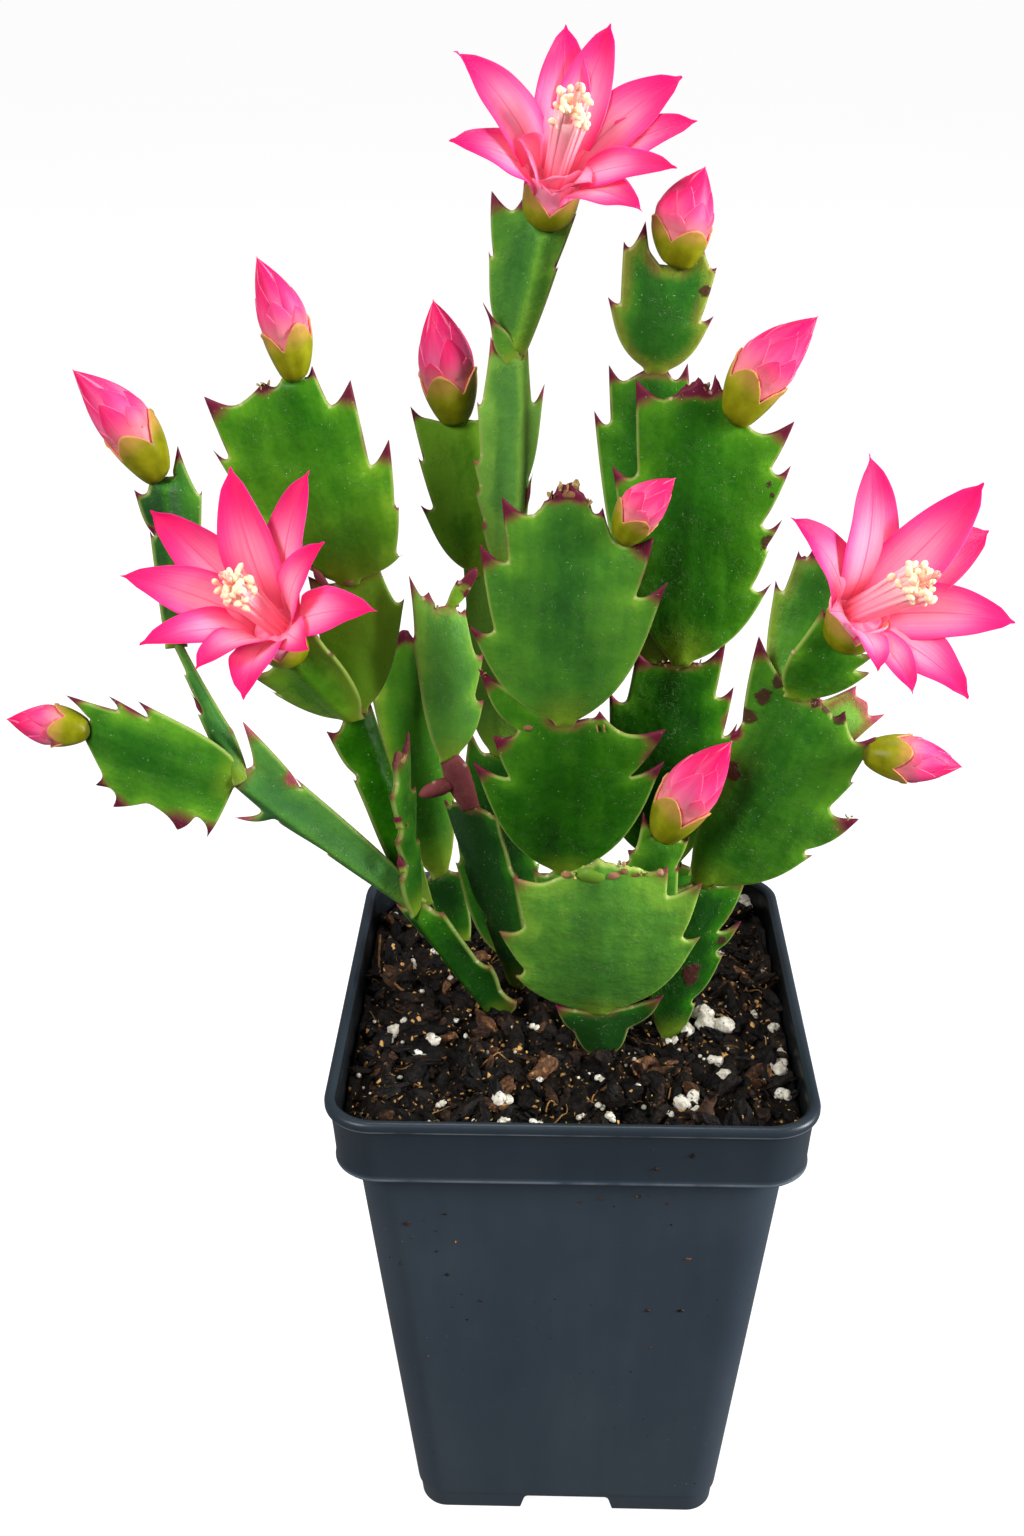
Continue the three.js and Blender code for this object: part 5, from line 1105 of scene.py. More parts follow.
def segment_outline(segment):
    """The closed outline in the segment's plane, as (across, along), with its tooth tips and notches."""
    sunk = ROOT_SUNK if "root" in segment.table else SEAT_SUNK
    bare = bare_top(segment.name)
    sides, tips, notches = [], [], []
    for hand, key in ((-1, "left"), (1, "right")):
        path, side_tips, side_notches = side_path(segment.table[key], segment.length, segment.half)
        neck = path[0][0]
        path = [np.array([neck, -sunk]), *path]
        if bare:
            crown = ((neck * 0.5, segment.length + CROWN_SHOULDER), (0.0, segment.length + CROWN_PEAK))
            path += [np.array(p) for p in crown]
        notches += [p * (hand, 1) for p in side_notches]
        rounded = evened(path, OUTLINE_STEP, np.flatnonzero(at_tips(path, side_tips)))
        pinned = at_tips(rounded, side_tips)
        for _ in range(EASINGS):
            eased = rounded.copy()
            eased[1:-1] = 0.25 * rounded[:-2] + 0.5 * rounded[1:-1] + 0.25 * rounded[2:]
            rounded = np.where(pinned[:, None], lerp(rounded, eased, TIP_EASING), eased)
        sides.append(rounded * (hand, 1))
        tips += [(tip * (hand, 1), reach) for tip, reach in side_tips]
    loop = np.concatenate([sides[0], sides[1][::-1][int(bare):]])
    slim = segment.table.get("slim", 1)
    loop[:, 0] *= lerp(1, slim, smooth_step(loop[:, 1] / segment.length, 0, 1))
    if bare and slim == 1 and segment.length > RAGGED_FROM:
        ragged = np.maximum(np.sin(loop[:, 0] * 2.3 + segment.length), -0.2) + 0.6 * np.sin(loop[:, 0] * 5.1)
        ragged = RAGGED_HEIGHT * ragged * np.exp(-(loop[:, 0] / RAGGED_REACH) ** 2)
        loop[:, 1] += ragged * smooth_step(loop[:, 1], segment.length - 7, segment.length - 2)
    return loop, tips, notches


def distance_to_path(points, loop):
    """How far each point lies from a closed path."""
    a, b = loop, np.roll(loop, -1, axis=0)
    ab = b - a
    t = ((points[:, None] - a) * ab).sum(2) / np.maximum((ab * ab).sum(1), 1e-9)
    nearest = a + ab * np.clip(t, 0, 1)[..., None]
    return np.linalg.norm(points[:, None] - nearest, axis=2).min(1)


def inside_path(points, loop):
    """Which points lie inside a closed path."""
    x, y = points[:, 0, None], points[:, 1, None]
    (ax, ay), (bx, by) = loop.T, np.roll(loop, -1, axis=0).T
    crosses = ((ay > y) != (by > y)) & (x < (bx - ax) * (y - ay) / np.where(by == ay, 1e-9, by - ay) + ax)
    return crosses.sum(1) % 2 == 1


def segment_net(loop):
    """A net of triangles that fills the outline, finer at the margin."""
    ahead = np.roll(loop, -1, axis=0) - np.roll(loop, 1, axis=0)
    inward = np.stack([ahead[:, 1], -ahead[:, 0]], axis=1)
    inward /= np.maximum(np.linalg.norm(inward, axis=1), 1e-6)[:, None]
    if not inside_path(loop[:1] + inward[:1] * 0.05, loop)[0]:
        inward = -inward
    fill = []
    for depth in MARGIN_DEPTHS:
        ring = loop + inward * depth
        away = distance_to_path(ring, loop)
        fill.append(ring[inside_path(ring, loop) & (away > depth * 0.93)])
    low, high = loop.min(0), loop.max(0)
    rows = []
    for i, y in enumerate(np.arange(low[1], high[1], INNER_STEP * ROW_SHARE)):
        xs = np.arange(low[0] - INNER_STEP * (i % 2) / 2, high[0], INNER_STEP)
        rows.append(np.stack([xs, np.full(len(xs), y)], axis=1))
    inner = np.concatenate(rows)
    inner = inner[inside_path(inner, loop)]
    inner = inner[distance_to_path(inner, loop) > INNER_START]
    points = np.concatenate([loop, *fill, inner])
    count = len(loop)
    edges = [(i, (i + 1) % count) for i in range(count)]
    placed, _, faces, _, _, _ = delaunay_2d_cdt([Vector(p) for p in points], edges, [], 1, 1e-5)
    return np.array([p[:] for p in placed]), [tuple(face) for face in faces]


def nearness(flat, spots):
    """How near each point lies to its nearest spot, 1 on it and 0 at its reach; spots: place, reach."""
    near = np.zeros(len(flat))
    for place, reach in spots:
        near = np.maximum(near, 1 - np.linalg.norm(flat - place, axis=1) / reach)
    return near


def shape_segment(clay, name, seed):
    """A flat fleshy segment: two faces that meet in a rounded margin, thickest along the midrib."""
    segment = segment_of(name)
    loop, tips, notches = segment_outline(segment)
    flat, faces = segment_net(loop)
    away = distance_to_path(flat, loop)
    away[away < 1e-3] = 0
    side, share = flat[:, 0], flat[:, 1] / segment.length
    layer = np.full(len(flat), seed)  # each segment takes its own slice of the noise

    rise = segment.table.get("thickness", STEM_THICKNESS) / 2
    taper = lerp(0.8, 1, np.sin(np.pi * np.clip(share, 0, 1)))
    margin = MARGIN_THICKNESS / 2 * np.sqrt(1 - (1 - np.clip(away / MARGIN_ROUND, 0, 1)) ** 2)
    soft_side = np.sqrt(side ** 2 + 0.8) - 0.6
    swell = (rise * taper - MARGIN_THICKNESS / 2) * np.clip(away / (away + soft_side), 0, 1)
    ridge = segment.table.get("keel", 0)
    keel = ridge * np.exp(-(side / KEEL_REACH) ** 2) * taper * smooth_step(away, 0, 1.4)
    drift = waver(np.stack([side, flat[:, 1], layer], axis=1), 0.085, seed * 3.7)
    drift = drift * 0.75 * np.clip(np.abs(side) / segment.half, 0, 1.2) ** 1.4
    front_face = segment.place(share, side, drift + margin + swell + keel)
    back_face = segment.place(share, side, drift - margin - swell)

    from_crown = np.linalg.norm((flat - (0, segment.length)) * (0.5, 1), axis=1)
    crown = np.exp(-(from_crown / CROWN_REACH) ** 2) * smooth_step(away, 4.0, 0.3)
    stains = [((out * segment.half, along * segment.length), 2 * r) for along, out, r in STAINS.get(name, ())]
    foot_tone, top_tone, plum, dull = LOOKS_WITH_PAINTED_SHADE[name]
    tone = lerp(foot_tone, top_tone, np.clip(share, 0, 1))
    # painted light and shade on keeled segments: the right face lighter, the left face darker, and a painted highlight
    # along the ridge
    if ridge > 1:
        tone += 0.26 * smooth_step(side, -0.4, 0.8) - 0.13 + 0.36 * np.exp(-(side / 0.8) ** 2)
    paint = dict(
        rim=away, rib=np.abs(side), share=share, tip=np.clip(nearness(flat, tips), 0, 1),
        crown=crown * crown_purple(name), stain=nearness(flat, stains),
        notch=nearness(flat, [(spot, NOTCH_REACH) for spot in notches]), tone=tone,
    )

    back = np.flatnonzero(away > 0)
    number = np.arange(len(flat))
    number[back] = len(flat) + np.arange(len(back))
    net = faces + [tuple(int(number[i]) for i in reversed(face)) for face in faces]
    leaf = np.stack([side + seed * 71.3, flat[:, 1] + seed * 37.7, layer], axis=1)
    clay.add(
        np.concatenate([front_face, back_face[back]]), net, leaf=np.concatenate([leaf, leaf[back] + BACK_GRAIN]),
        flush=FLUSHED.get(name, 0.0), plum=plum, dull=dull, dry=0.0,
        **{key: np.concatenate([values, values[back]]) for key, values in paint.items()},
    )


def shape_stems(finish):
    """Every grown stem as one piece of its segments."""
    for number, (stem, names) in enumerate(STEMS.items()):
        clay = Clay()
        for i, name in enumerate(names):
            shape_segment(clay, name, number * 1.7 + i * 0.61 + 0.3)
        clay.cast(f"{stem}_flesh", finish, "stem_green", stem)


# dried scales left where buds and shoots have dropped: segment, share along, share out, size
DRIED_SCALES = (
    ("centre_top", 1.0, 0.0, 2.2), ("centre_top", 0.99, -0.2, 1.4), ("centre_top", 0.96, 0.26, 1.3),
    ("centre_mid", 0.96, 0.42, 1.9), ("centre_mid", 0.99, -0.42, 1.1), ("centre_mid", 1.24, -0.92, 1.6),
    ("left_centre", 1.02, 0.1, 1.3), ("front_wide", 0.97, -0.3, 1.2), ("front_wide", 0.99, 0.2, 1.3),
    ("front_wide", 0.97, 0.45, 1.0), ("left_big", 0.99, -0.35, 1.5), ("bearer", 0.99, 0.0, 1.6),
    ("right_big", 0.99, 0.12, 1.4), ("right_mid", 1.0, -0.3, 1.3), ("right_mid", 1.0, 0.3, 1.3),
    ("right_base", 1.0, 0.1, 1.5), ("branch", 0.98, 0.1, 1.1), ("foot_left", 0.99, 0.1, 1.3),
    ("foot_left", 0.55, 0.3, 0.9), ("thin", 0.99, 0.0, 1.2), ("thin", 0.32, 0.2, 1.0), ("thin", 0.6, -0.3, 0.9),
    ("right_low", 1.0, 0.1, 1.3), ("right_wide", 0.97, -0.1, 1.4), ("tall_low", 1.0, -0.1, 1.4),
    ("tall_mid", 1.0, 0.0, 1.1), ("back_mid", 0.98, -0.5, 1.2), ("right_back", 0.99, 0.0, 1.2),
    ("bud_bearer", 0.97, 0.2, 0.9), ("far_left", 0.95, 0.3, 1.0), ("right_wide", 0.57, 1.3, 1.0),
)
INNER_PAINT = dict(rim=9.0, rib=9.0, share=0.5)  # as far from margin, midrib and foot as a segment's middle
FLAKES = 3
FLAKE_THICKNESS = 0.14

# fleshy and corky knobs on a crown: segment, share along, share out, radii, tone, dry, plum
CROWN_KNOBS = (
    ("front_wide", 0.95, -0.07, (3.3, 1.5, 2.2), 0.56, 0.16, 0.0),
    ("front_wide", 0.955, 0.13, (1.7, 1.3, 1.2), 0.5, 0.45, 0.6),
    ("front_wide", 0.972, 0.24, (0.9, 1.0, 0.7), 0.5, 0.5, 0.6),
    ("front_wide", 0.95, -0.33, (1.3, 0.8, 0.6), 0.5, 0.55, 0.5),
    ("front_wide", 0.952, 0.36, (1.2, 0.8, 0.6), 0.5, 0.5, 0.5),
    ("front_wide", 0.955, 0.61, (0.7, 0.8, 0.8), 0.5, 0.5, 0.6),
    ("centre_top", 0.985, 0.0, (1.6, 1.4, 1.1), 0.4, 0.7, 0.6),
    ("centre_mid", 0.97, -0.4, (1.2, 1.2, 0.9), 0.4, 0.55, 0.8),
    ("right_wide", 1.0, -0.25, (1.1, 1.3, 1.2), 0.9, 0.25, 0.1),
    ("left_mid", 1.0, 0.0, (1.5, 1.5, 1.0), 0.5, 0.5, 0.4),
    ("bearer", 0.99, 0.0, (1.5, 1.7, 1.2), 0.4, 0.8, 0.4),
    ("thin", 0.99, 0.0, (1.2, 1.4, 1.1), 0.4, 0.8, 0.4),
    ("foot_left", 0.98, 0.0, (1.6, 1.7, 1.2), 0.4, 0.6, 0.4),
)


def kept_on(segment, spot):
    """The spot, or the nearest one a little way in from the segment's margin."""
    loop = segment_outline(segment)[0]
    if inside_path(spot[None], loop)[0]:
        return spot
    nearest = loop[np.argmin(np.linalg.norm(loop - spot, axis=1))]
    return lerp(nearest, np.array([0, segment.length * 0.6]), 0.03)


def shape_dried_scales(finish, rng):
    """Papery brown scales, each a curled flake, where segments and buds are joined."""
    clay = Clay()
    rows, columns = 5, 5
    t, v = np.meshgrid(np.linspace(0, 1, rows), np.linspace(-1, 1, columns), indexing="ij")
    faces = grid_faces(rows, columns)
    faces += [tuple(rows * columns + i for i in reversed(face)) for face in faces]
    for name, share, out, size in DRIED_SCALES:
        segment = segment_of(name)
        for flake in range(FLAKES):
            height = rng.uniform(-0.9, 1.1)
            side = out * segment.half + rng.uniform(-0.7, 0.7) * size
            side, along = kept_on(segment, np.array([side, share * segment.length]))
            foot = segment.place(along / segment.length, side, height)
            turn = any_turn(rng, 0.5)
            reach = size * rng.uniform(0.55, 1.0)
            wide = reach * 0.42 * np.sqrt(1 - t ** 2 * 0.96)
            curl = reach * 0.35 * t ** 2 + 0.22 * reach * v ** 2
            local = np.stack([v * wide, curl, t * reach], axis=-1).reshape(-1, 3)
            local += 0.12 * size * np.stack([waver(local, 1.6, flake + share * 9 + k) for k in (1, 5, 9)], axis=1)
            basis = np.stack([segment.across, segment.front * rng.choice((-1, 1)), segment.along], axis=1)
            shell = (local @ turn.T) @ basis.T + foot
            back = shell + segment.front * FLAKE_THICKNESS
            clay.add(
                np.concatenate([shell, back]), faces, leaf=np.concatenate([local, local]) + flake * 9 + share * 31,
                **INNER_PAINT, tone=0.4, dry=rng.uniform(0.7, 1.0),
            )
    for number, (name, share, out, radii, tone, dry, plum) in enumerate(CROWN_KNOBS):
        segment = segment_of(name)
        turn = np.stack([segment.across, segment.front, segment.along], axis=1)
        lump(
            clay, segment.seat((share, out, 0.1)), radii, turn, 3, 0.12, number * 3.3,
            leaf=(number * 13.0, 5.0, 2.0), **INNER_PAINT, tone=tone, dry=dry, tip=plum, plum=1.0,
        )
    clay.cast("dried_scales", finish, "stem_green")


# ---------------------------------------------------------------- buds and blooms


class Line:
    """The line of a bud or tube from its foot, bowed upward in its middle, with directions round it."""

    def __init__(self, foot, axis, length, bow=0.0):
        self.foot, self.axis, self.length, self.bow = foot, axis, length, bow
        self.side = square_to((1, 0, 0), axis)
        self.other = np.cross(axis, self.side)
        self.upward = square_to((0, 0, 1), axis)

    def place(self, along, angle, radius):
        along, angle, radius = (v[..., None] for v in np.broadcast_arrays(along, angle, radius))
        t = along / self.length
        return (
            self.foot + self.axis * along + self.upward * (self.bow * 4 * t * (1 - t))
            + (self.side * np.cos(angle) + self.other * np.sin(angle)) * radius
        )


def bud_radius(share, width):
    """A bud's radius at a share of its length: widest at two fifths."""
    share = np.clip(share, 0, 1)
    low = 0.42 + 0.58 * np.sin(math.pi / 2 * np.minimum(share, 0.4) / 0.4) ** 0.66
    high = 1 - np.maximum((share - 0.4) / 0.6, 0) ** 2.1
    return width / 2 * np.where(share < 0.4, low, high) + np.where(share < 0.4, 0, 0.25)


CUP_COLUMNS = 72
CUP_FOOT = ((-0.5, 0.45), (-0.25, 0.8), (0.0, 0.97))
CUP_SHARES = (0.03, 0.07, 0.12, 0.2, 0.3, 0.42, 0.54, 0.66, 0.78, 0.88, 0.95, 1.0)
CUP_INSIDE = ((0.06, 0.22), (0.7, 0.5), (2.2, 0.75))


def lobed(turns, low, high):
    """A rim of pointed lobes, one a turn, from low to high, and how far each point is from a lobe's tip."""
    off = np.abs(turns % 1 - 0.5) * 2
    return lerp(low, high, (1 - off ** 1.6) ** 0.9), off


def shape_cup(clay, line, radius, rim, lobes, peak, valley, phase, seed):
    """A fleshy cup with pointed lobes at its rim; radius gives its radius at a height."""
    angle = full_turn(CUP_COLUMNS)
    crown, _ = lobed((angle + phase) / (2 * math.pi) * lobes + 0.5, valley, peak)
    top = rim + crown + 0.03 * rim * np.sin(angle * 2 + seed * 5)
    points, up, edge = [], [], []
    for t, share in (*CUP_FOOT, *((t, 1.0) for t in CUP_SHARES)):
        along = np.where(t < 0, t, t * top)
        out = radius(np.maximum(along, 0)) + 0.14 * smooth_step(t, 0.3, 1)
        points.append(line.place(along, angle, out * share))
        up.append(along / rim)
        edge.append(top - along)
    for drop, inset in CUP_INSIDE:
        along = top - drop
        points.append(line.place(along, angle, radius(along) - inset))
        up.append(along / rim)
        edge.append(np.full(CUP_COLUMNS, drop * 0.3))
    ribs = np.tile(0.5 + 0.5 * np.cos(angle * lobes * 2 + 0.6 * np.sin(angle + seed)), len(points))
    clay.add(
        np.concatenate(points), capped_faces(len(points), CUP_COLUMNS)[:-1], ribs=ribs, seed=seed % 1,
        up=np.clip(np.concatenate(up), 0, 2), edge=np.concatenate(edge),
    )


# the furled petals of a bud in layers: how many, from and to which share of its length, half angle, turn, height
BUD_LAYERS = (
    (4, 0.16, 0.57, 40, 45, 0.42),
    (4, 0.2, 0.7, 44, 0, 0.26),
    (4, 0.3, 0.83, 46, 45, 0.1),
    (4, 0.42, 0.94, 48, 0, -0.06),
    (3, 0.5, 1.0, 64, 15, -0.2),
)


TEPAL_ROWS, TEPAL_COLUMNS = 17, 13
TEPAL_THICKNESS = 0.42
CORE_SIDES = 32
CORE_ROWS = 24


def shape_bud(name, cup_green, bud_pink, number):
    """A bud: its cup, then layers of furled petals round a core."""
    table = BUDS[name]
    length, width = table["length"], table["width"]
    foot = segment_of(table["on"]).seat(table["seat"])
    line = Line(foot, direction(table["lean"], table["toward"]), length, table.get("bow", 0))
    seed = number * 0.37 + 0.2

    def radius(along):
        return bud_radius(along / length, width)

    cup = Clay()
    shape_cup(cup, line, radius, CUP_SHARE * length, 4, 0.09 * length, -0.1 * length, number * 0.9, seed)
    cup.cast(f"{name}_olive", cup_green, "cup_green", f"{name}_cup")

    petals = Clay()
    t, v = np.meshgrid(np.linspace(0, 1, TEPAL_ROWS), np.linspace(-1, 1, TEPAL_COLUMNS), indexing="ij")
    across, up = (np.pad(values, ((0, 1), (1, 1)), mode="edge") for values in (v, t))
    faces = grid_faces(TEPAL_ROWS + 1, TEPAL_COLUMNS + 2)
    for layer, (count, low, high, half_angle, turn, lift) in enumerate(BUD_LAYERS):
        for k in range(count):
            wobble = math.sin(seed * 40 + layer * 2.3 + k * 1.7)
            middle = math.radians(turn + 360 / count * k + wobble * 7 + number * 9)
            tall = high - low if layer == len(BUD_LAYERS) - 1 else (high - low) * (1 + 0.07 * wobble)
            spread = math.radians(half_angle) * (1 - t ** 2.6) ** 0.7
            along = length * (low + tall * t)
            free = smooth_step(along / length, 0.4, 0.54) if lift > 0 else 1
            proud = lift * free + 0.16 * (1 - v ** 2) * np.sin(math.pi * np.clip(t * 0.8 + 0.1, 0, 1)) - 0.1 * t
            skin = np.maximum(radius(along) * 0.96 - 0.3 + proud, 0.12)
            sheet = line.place(along, middle + v * spread, skin)
            under = line.place(along, middle + v * spread * 1.015, np.maximum(skin - TEPAL_THICKNESS, 0.05))
            edged = np.concatenate([under[:, :1], sheet, under[:, -1:]], axis=1)
            edged = np.concatenate([edged, under[-1:, :1].repeat(TEPAL_COLUMNS + 2, axis=1)], axis=0)
            petal = np.stack([across, up, np.full_like(up, seed * 7 + layer + k * 0.3)], axis=-1)
            petals.add(
                edged.reshape(-1, 3), faces, petal=petal.reshape(-1, 3), up=(low + tall * up).ravel(),
                seed=0.5 + 0.5 * math.sin(seed * 9 + layer * 2.1 + k * 4.4) - 0.5,
            )
    heights = np.linspace(0.2, 0.985, CORE_ROWS)
    angle = full_turn(CORE_SIDES)
    radii = [max(float(radius(share * length)) * 0.96 - TEPAL_THICKNESS, 0.1) for share in heights]
    core = np.concatenate([line.place(share * length, angle, r) for share, r in zip(heights, radii)])
    share = np.repeat(heights, CORE_SIDES)
    petal = np.stack([np.tile(np.abs(np.sin(angle * 2)), CORE_ROWS), share, np.full_like(share, seed)], axis=-1)
    petals.add(core, capped_faces(CORE_ROWS, CORE_SIDES), petal=petal, up=share, seed=0.0)
    petals.cast(f"{name}_furled", bud_pink, "petal_pink", f"{name}_petals")


OVARY_HEIGHT = 6.2
OVARY_HEIGHTS = (0, 0.6, 1.3, 2.2, 3.4, 4.6, 6.2, 9)
OVARY_RADII = (2.4, 3.6, 4.3, 4.8, 5.15, 5.3, 5.3, 5.6)
OVARY_LOBES = 3
PETAL_RING = 3.3
COLUMN_RISE = 0.9
THROAT_RISE = 1.1
PETAL_SKIN = 0.44
PETAL_FULLNESS = 1.14
TUCK_SHARE = 0.17
PETAL_ROWS, PETAL_COLUMNS = 30, 24
TUBE_SIDES = 36
FUNNEL_LOBES = 5
FUNNEL_ROWS, FUNNEL_COLUMNS = 12, 80
FUNNEL_RADII = (4.95, 5.8)
STAMEN_SUNK = 2.4
FILAMENTS = 46
FILAMENT_TURN = 2.39996  # the golden angle spreads them evenly
FILAMENT_RADII = (0.56, 0.34)
STYLE_RADII = (0.42, 0.52)
STYLE_SHARE = 1.12
STIGMA_LOBES = 6


def shape_petal(clay, foot, tip, inward, tuck, width, seed, edging):
    """A petal as a flattened closed leaf: its foot tucked down the tube, arched, cupped across, creased, pointed."""
    ahead = tip - foot
    length = np.linalg.norm(ahead)
    ahead = ahead / length
    front = square_to(inward, ahead)
    across = np.cross(ahead, front)
    t = np.linspace(0, 1, PETAL_ROWS)[:, None]
    ring = full_turn(PETAL_COLUMNS)[None, :]
    v, thick = np.cos(ring), np.sin(ring)
    half = PETAL_FULLNESS * width / 2 * np.sin(math.pi * lerp(0.24, 0.985, t) ** 1.05) ** 0.8
    half = half * lerp(0.72, 1, smooth_step(t, 0.0, 0.16))
    half = half * (1 - 0.75 * smooth_step(t, 0.9, 1.0))
    arch = length * 0.09 * 4 * t * (1 - t) - length * 0.05 * t ** 4
    cupped = half * (0.22 - 0.12 * smooth_step(t, 0.3, 0) + 0.16 * smooth_step(t, 0.7, 1)) * v ** 2
    wave = 0.028 * width * np.sin(t * 9 + seed * 6) * v * np.abs(v)
    wave = wave + 0.02 * width * np.sin(t * 16 + seed * 11) * v ** 3
    crease = -0.16 * np.exp(-(v / 0.16) ** 2) * np.sin(math.pi * np.clip(t, 0, 1))
    skin = PETAL_SKIN / 2 * thick * (1 - 0.55 * t) * (0.55 + 0.45 * np.sqrt(np.clip(1 - v ** 2, 0, 1)))
    twist = 0.04 * width * math.sin(seed * 13) * v * t
    height = arch + cupped + wave + crease + twist + skin
    tucked = np.clip(1 - t / TUCK_SHARE, 0, 1)[..., None] ** 1.5
    points = (
        foot + ahead * (t * length)[..., None] + across * (v * half)[..., None] + front * height[..., None]
        + tuck * tucked
    ).reshape(-1, 3)
    petal = np.stack([v * edging + 0 * t, t * edging + 0 * v, 0 * t + 0 * v + seed * 5], axis=-1).reshape(-1, 3)
    faces = [face[::-1] for face in capped_faces(PETAL_ROWS, PETAL_COLUMNS)]
    clay.add(points, faces, petal=petal, seed=math.sin(seed * 21) * 0.5)


def shape_funnel(clay, line, rise, seed):
    """The pink funnel of overlapping petal feet between the cup and the throat, with a lobed rim."""
    angle = full_turn(FUNNEL_COLUMNS)
    crown, lobe = lobed(angle / (2 * math.pi) * FUNNEL_LOBES + seed, -0.5, 1.2)
    folds = 0.12 * np.cos(angle * FUNNEL_LOBES + 6.28 * seed + 2.2)
    points, petal = [], []
    outside = [(t, 0.0) for t in np.linspace(0, 1, FUNNEL_ROWS)]
    for t, inset in (*outside, (1.0, 0.3), (0.8, 0.5), (0.5, 0.7)):
        along = lerp(OVARY_HEIGHT - 2.4, rise + crown, t)
        radius = lerp(*FUNNEL_RADII, smooth_step(along, 5.5, rise + 1)) + folds * t
        points.append(line.place(along, angle, radius - inset))
        height, grain = (np.full(FUNNEL_COLUMNS, value) for value in (0.04 + 0.4 * t, seed * 3))
        petal.append(np.stack([lobe * 0.35, height, grain], axis=1))
    faces = capped_faces(len(points), FUNNEL_COLUMNS)[:-1]
    clay.add(np.concatenate(points), faces, petal=np.concatenate(petal), seed=0.1)


def shape_stamens(clay, foot, axis, length, rng):
    """A sheaf of filaments tipped with anthers, and the style that stands past them."""
    side = square_to((1, 0, 0), axis)
    other = np.cross(axis, side)
    for i in range(FILAMENTS):
        angle = i * FILAMENT_TURN + rng.uniform(-0.2, 0.2)
        out = math.sqrt((i + 0.5) / FILAMENTS)
        reach = length * rng.uniform(0.72, 0.99)
        way = side * math.cos(angle) + other * math.sin(angle)
        t = np.linspace(0, 1, 9)
        spread = 2.1 * out + (1.3 * out + rng.uniform(-0.1, 0.45)) * t ** 1.6
        path = foot + np.outer(t * reach, axis) + np.outer(spread, way)
        tube(clay, path, np.linspace(*FILAMENT_RADII, 9), 6, kind=0.0, up=t)
        turn = any_turn(rng, 1.2)
        radii = (rng.uniform(0.55, 0.68), rng.uniform(0.55, 0.68), rng.uniform(0.85, 1.15))
        lump(clay, path[-1] + axis * 0.2, radii, turn, 2, 0.1, i * 1.7, kind=1.0, up=1.0)
    t = np.linspace(0, 0.8, 8)
    tube(clay, foot + np.outer(t * length, axis), 2.1 + 1.25 * t, 16, kind=0.0, up=t)
    t = np.linspace(0, 1, 10)
    path = foot + np.outer(t * length * STYLE_SHARE, axis) + np.outer(0.5 * np.sin(math.pi * t), other)
    tube(clay, path, np.linspace(*STYLE_RADII, 10), 8, kind=2.0, up=t)
    turn = np.stack([side, other, axis], axis=1)
    for k in range(STIGMA_LOBES):
        angle = k * math.pi / 3
        spot = path[-1] + (side * math.cos(angle) + other * math.sin(angle)) * 0.42 + axis * 0.15
        lump(clay, spot, (0.36, 0.36, 0.8), turn, 1, 0.05, k, kind=2.0, up=1.0)


def shape_tube(clay, line, rise, seed):
    """The closed tube inside the funnel, with a shallow throat."""
    angle = full_turn(TUBE_SIDES)
    profile = (  # height, radius, share up a petal, for its colour
        (OVARY_HEIGHT - 1.8, 4.5, 0.0), (OVARY_HEIGHT - 0.4, 4.75, 0.02),
        (lerp(OVARY_HEIGHT, rise, 0.4), 4.7, 0.06), (lerp(OVARY_HEIGHT, rise, 0.8), 4.2, 0.12),
        (rise - 0.5, 3.9, 0.2), (rise - 0.65, 3.2, 0.3), (rise - 0.7, 1.6, 0.3),
    )
    folds = 1 + 0.03 * np.cos(angle * 5 + seed)
    points = np.concatenate([line.place(along, angle, radius * folds) for along, radius, _ in profile])
    shade = np.repeat([t for _, _, t in profile], TUBE_SIDES)
    petal = np.stack([np.tile(np.sin(angle * 4) * 0.6, len(profile)), shade, np.full(len(shade), seed)], axis=-1)
    clay.add(points, capped_faces(len(profile), TUBE_SIDES), petal=petal, seed=0.0)


def shape_bloom(name, cup_green, petal_pink, stamen_cream, rng, number):
    """An open bloom: its ovary cup, its tube with a whorl of petals, and its column of stamens."""
    table = BLOOMS[name]
    rise = table["tube"]
    axis = direction(table["lean"], table["toward"])
    tube_axis = direction(table["tubeLean"], table["tubeToward"])
    foot = segment_of(table["on"]).seat((1, 0, 0))
    throat = foot + tube_axis * rise
    up = square_to((0, 0, 1), axis)
    right = np.cross(up, axis)
    if right[0] < 0:
        right = -right
    seed = 0.31 + number * 0.47
    line = Line(foot, tube_axis, OVARY_HEIGHT)

    def ovary_radius(along):
        return np.interp(along, OVARY_HEIGHTS, OVARY_RADII)

    ovary = Clay()
    shape_cup(ovary, line, ovary_radius, OVARY_HEIGHT, OVARY_LOBES, 2.6, -1.3, math.pi / 6, seed)
    ovary.cast(f"{name}_olive", cup_green, "cup_green", f"{name}_ovary")

    whorl = Clay()
    shape_tube(whorl, line, rise, seed)
    shape_funnel(whorl, line, rise, seed)
    for k, (turn, opening, length, width) in enumerate(table["petals"]):
        turn, opening = math.radians(turn), math.radians(opening)
        outward = up * math.cos(turn) + right * math.sin(turn)
        reach = axis * math.cos(opening) + outward * math.sin(opening)
        start = throat - axis * 0.6 + outward * PETAL_RING
        tuck = outward * 0.75 - tube_axis * (rise - OVARY_HEIGHT + 0.6)
        shape_petal(whorl, start, throat + reach * length, axis, tuck, width, seed + k * 0.73, min(1.0, length / 18))
    whorl.cast(f"{name}_silk", petal_pink, "petal_pink", f"{name}_petals")

    stamens = Clay()
    root = throat + tube_axis * (THROAT_RISE - 0.6) + axis * COLUMN_RISE
    way = direction(table["columnLean"], table["columnToward"])
    shape_stamens(stamens, root - way * STAMEN_SUNK, way, table["column"] + STAMEN_SUNK, rng)
    stamens.cast(f"{name}_pollen", stamen_cream, "anther_cream", f"{name}_stamens")


# ---------------------------------------------------------------- the pot

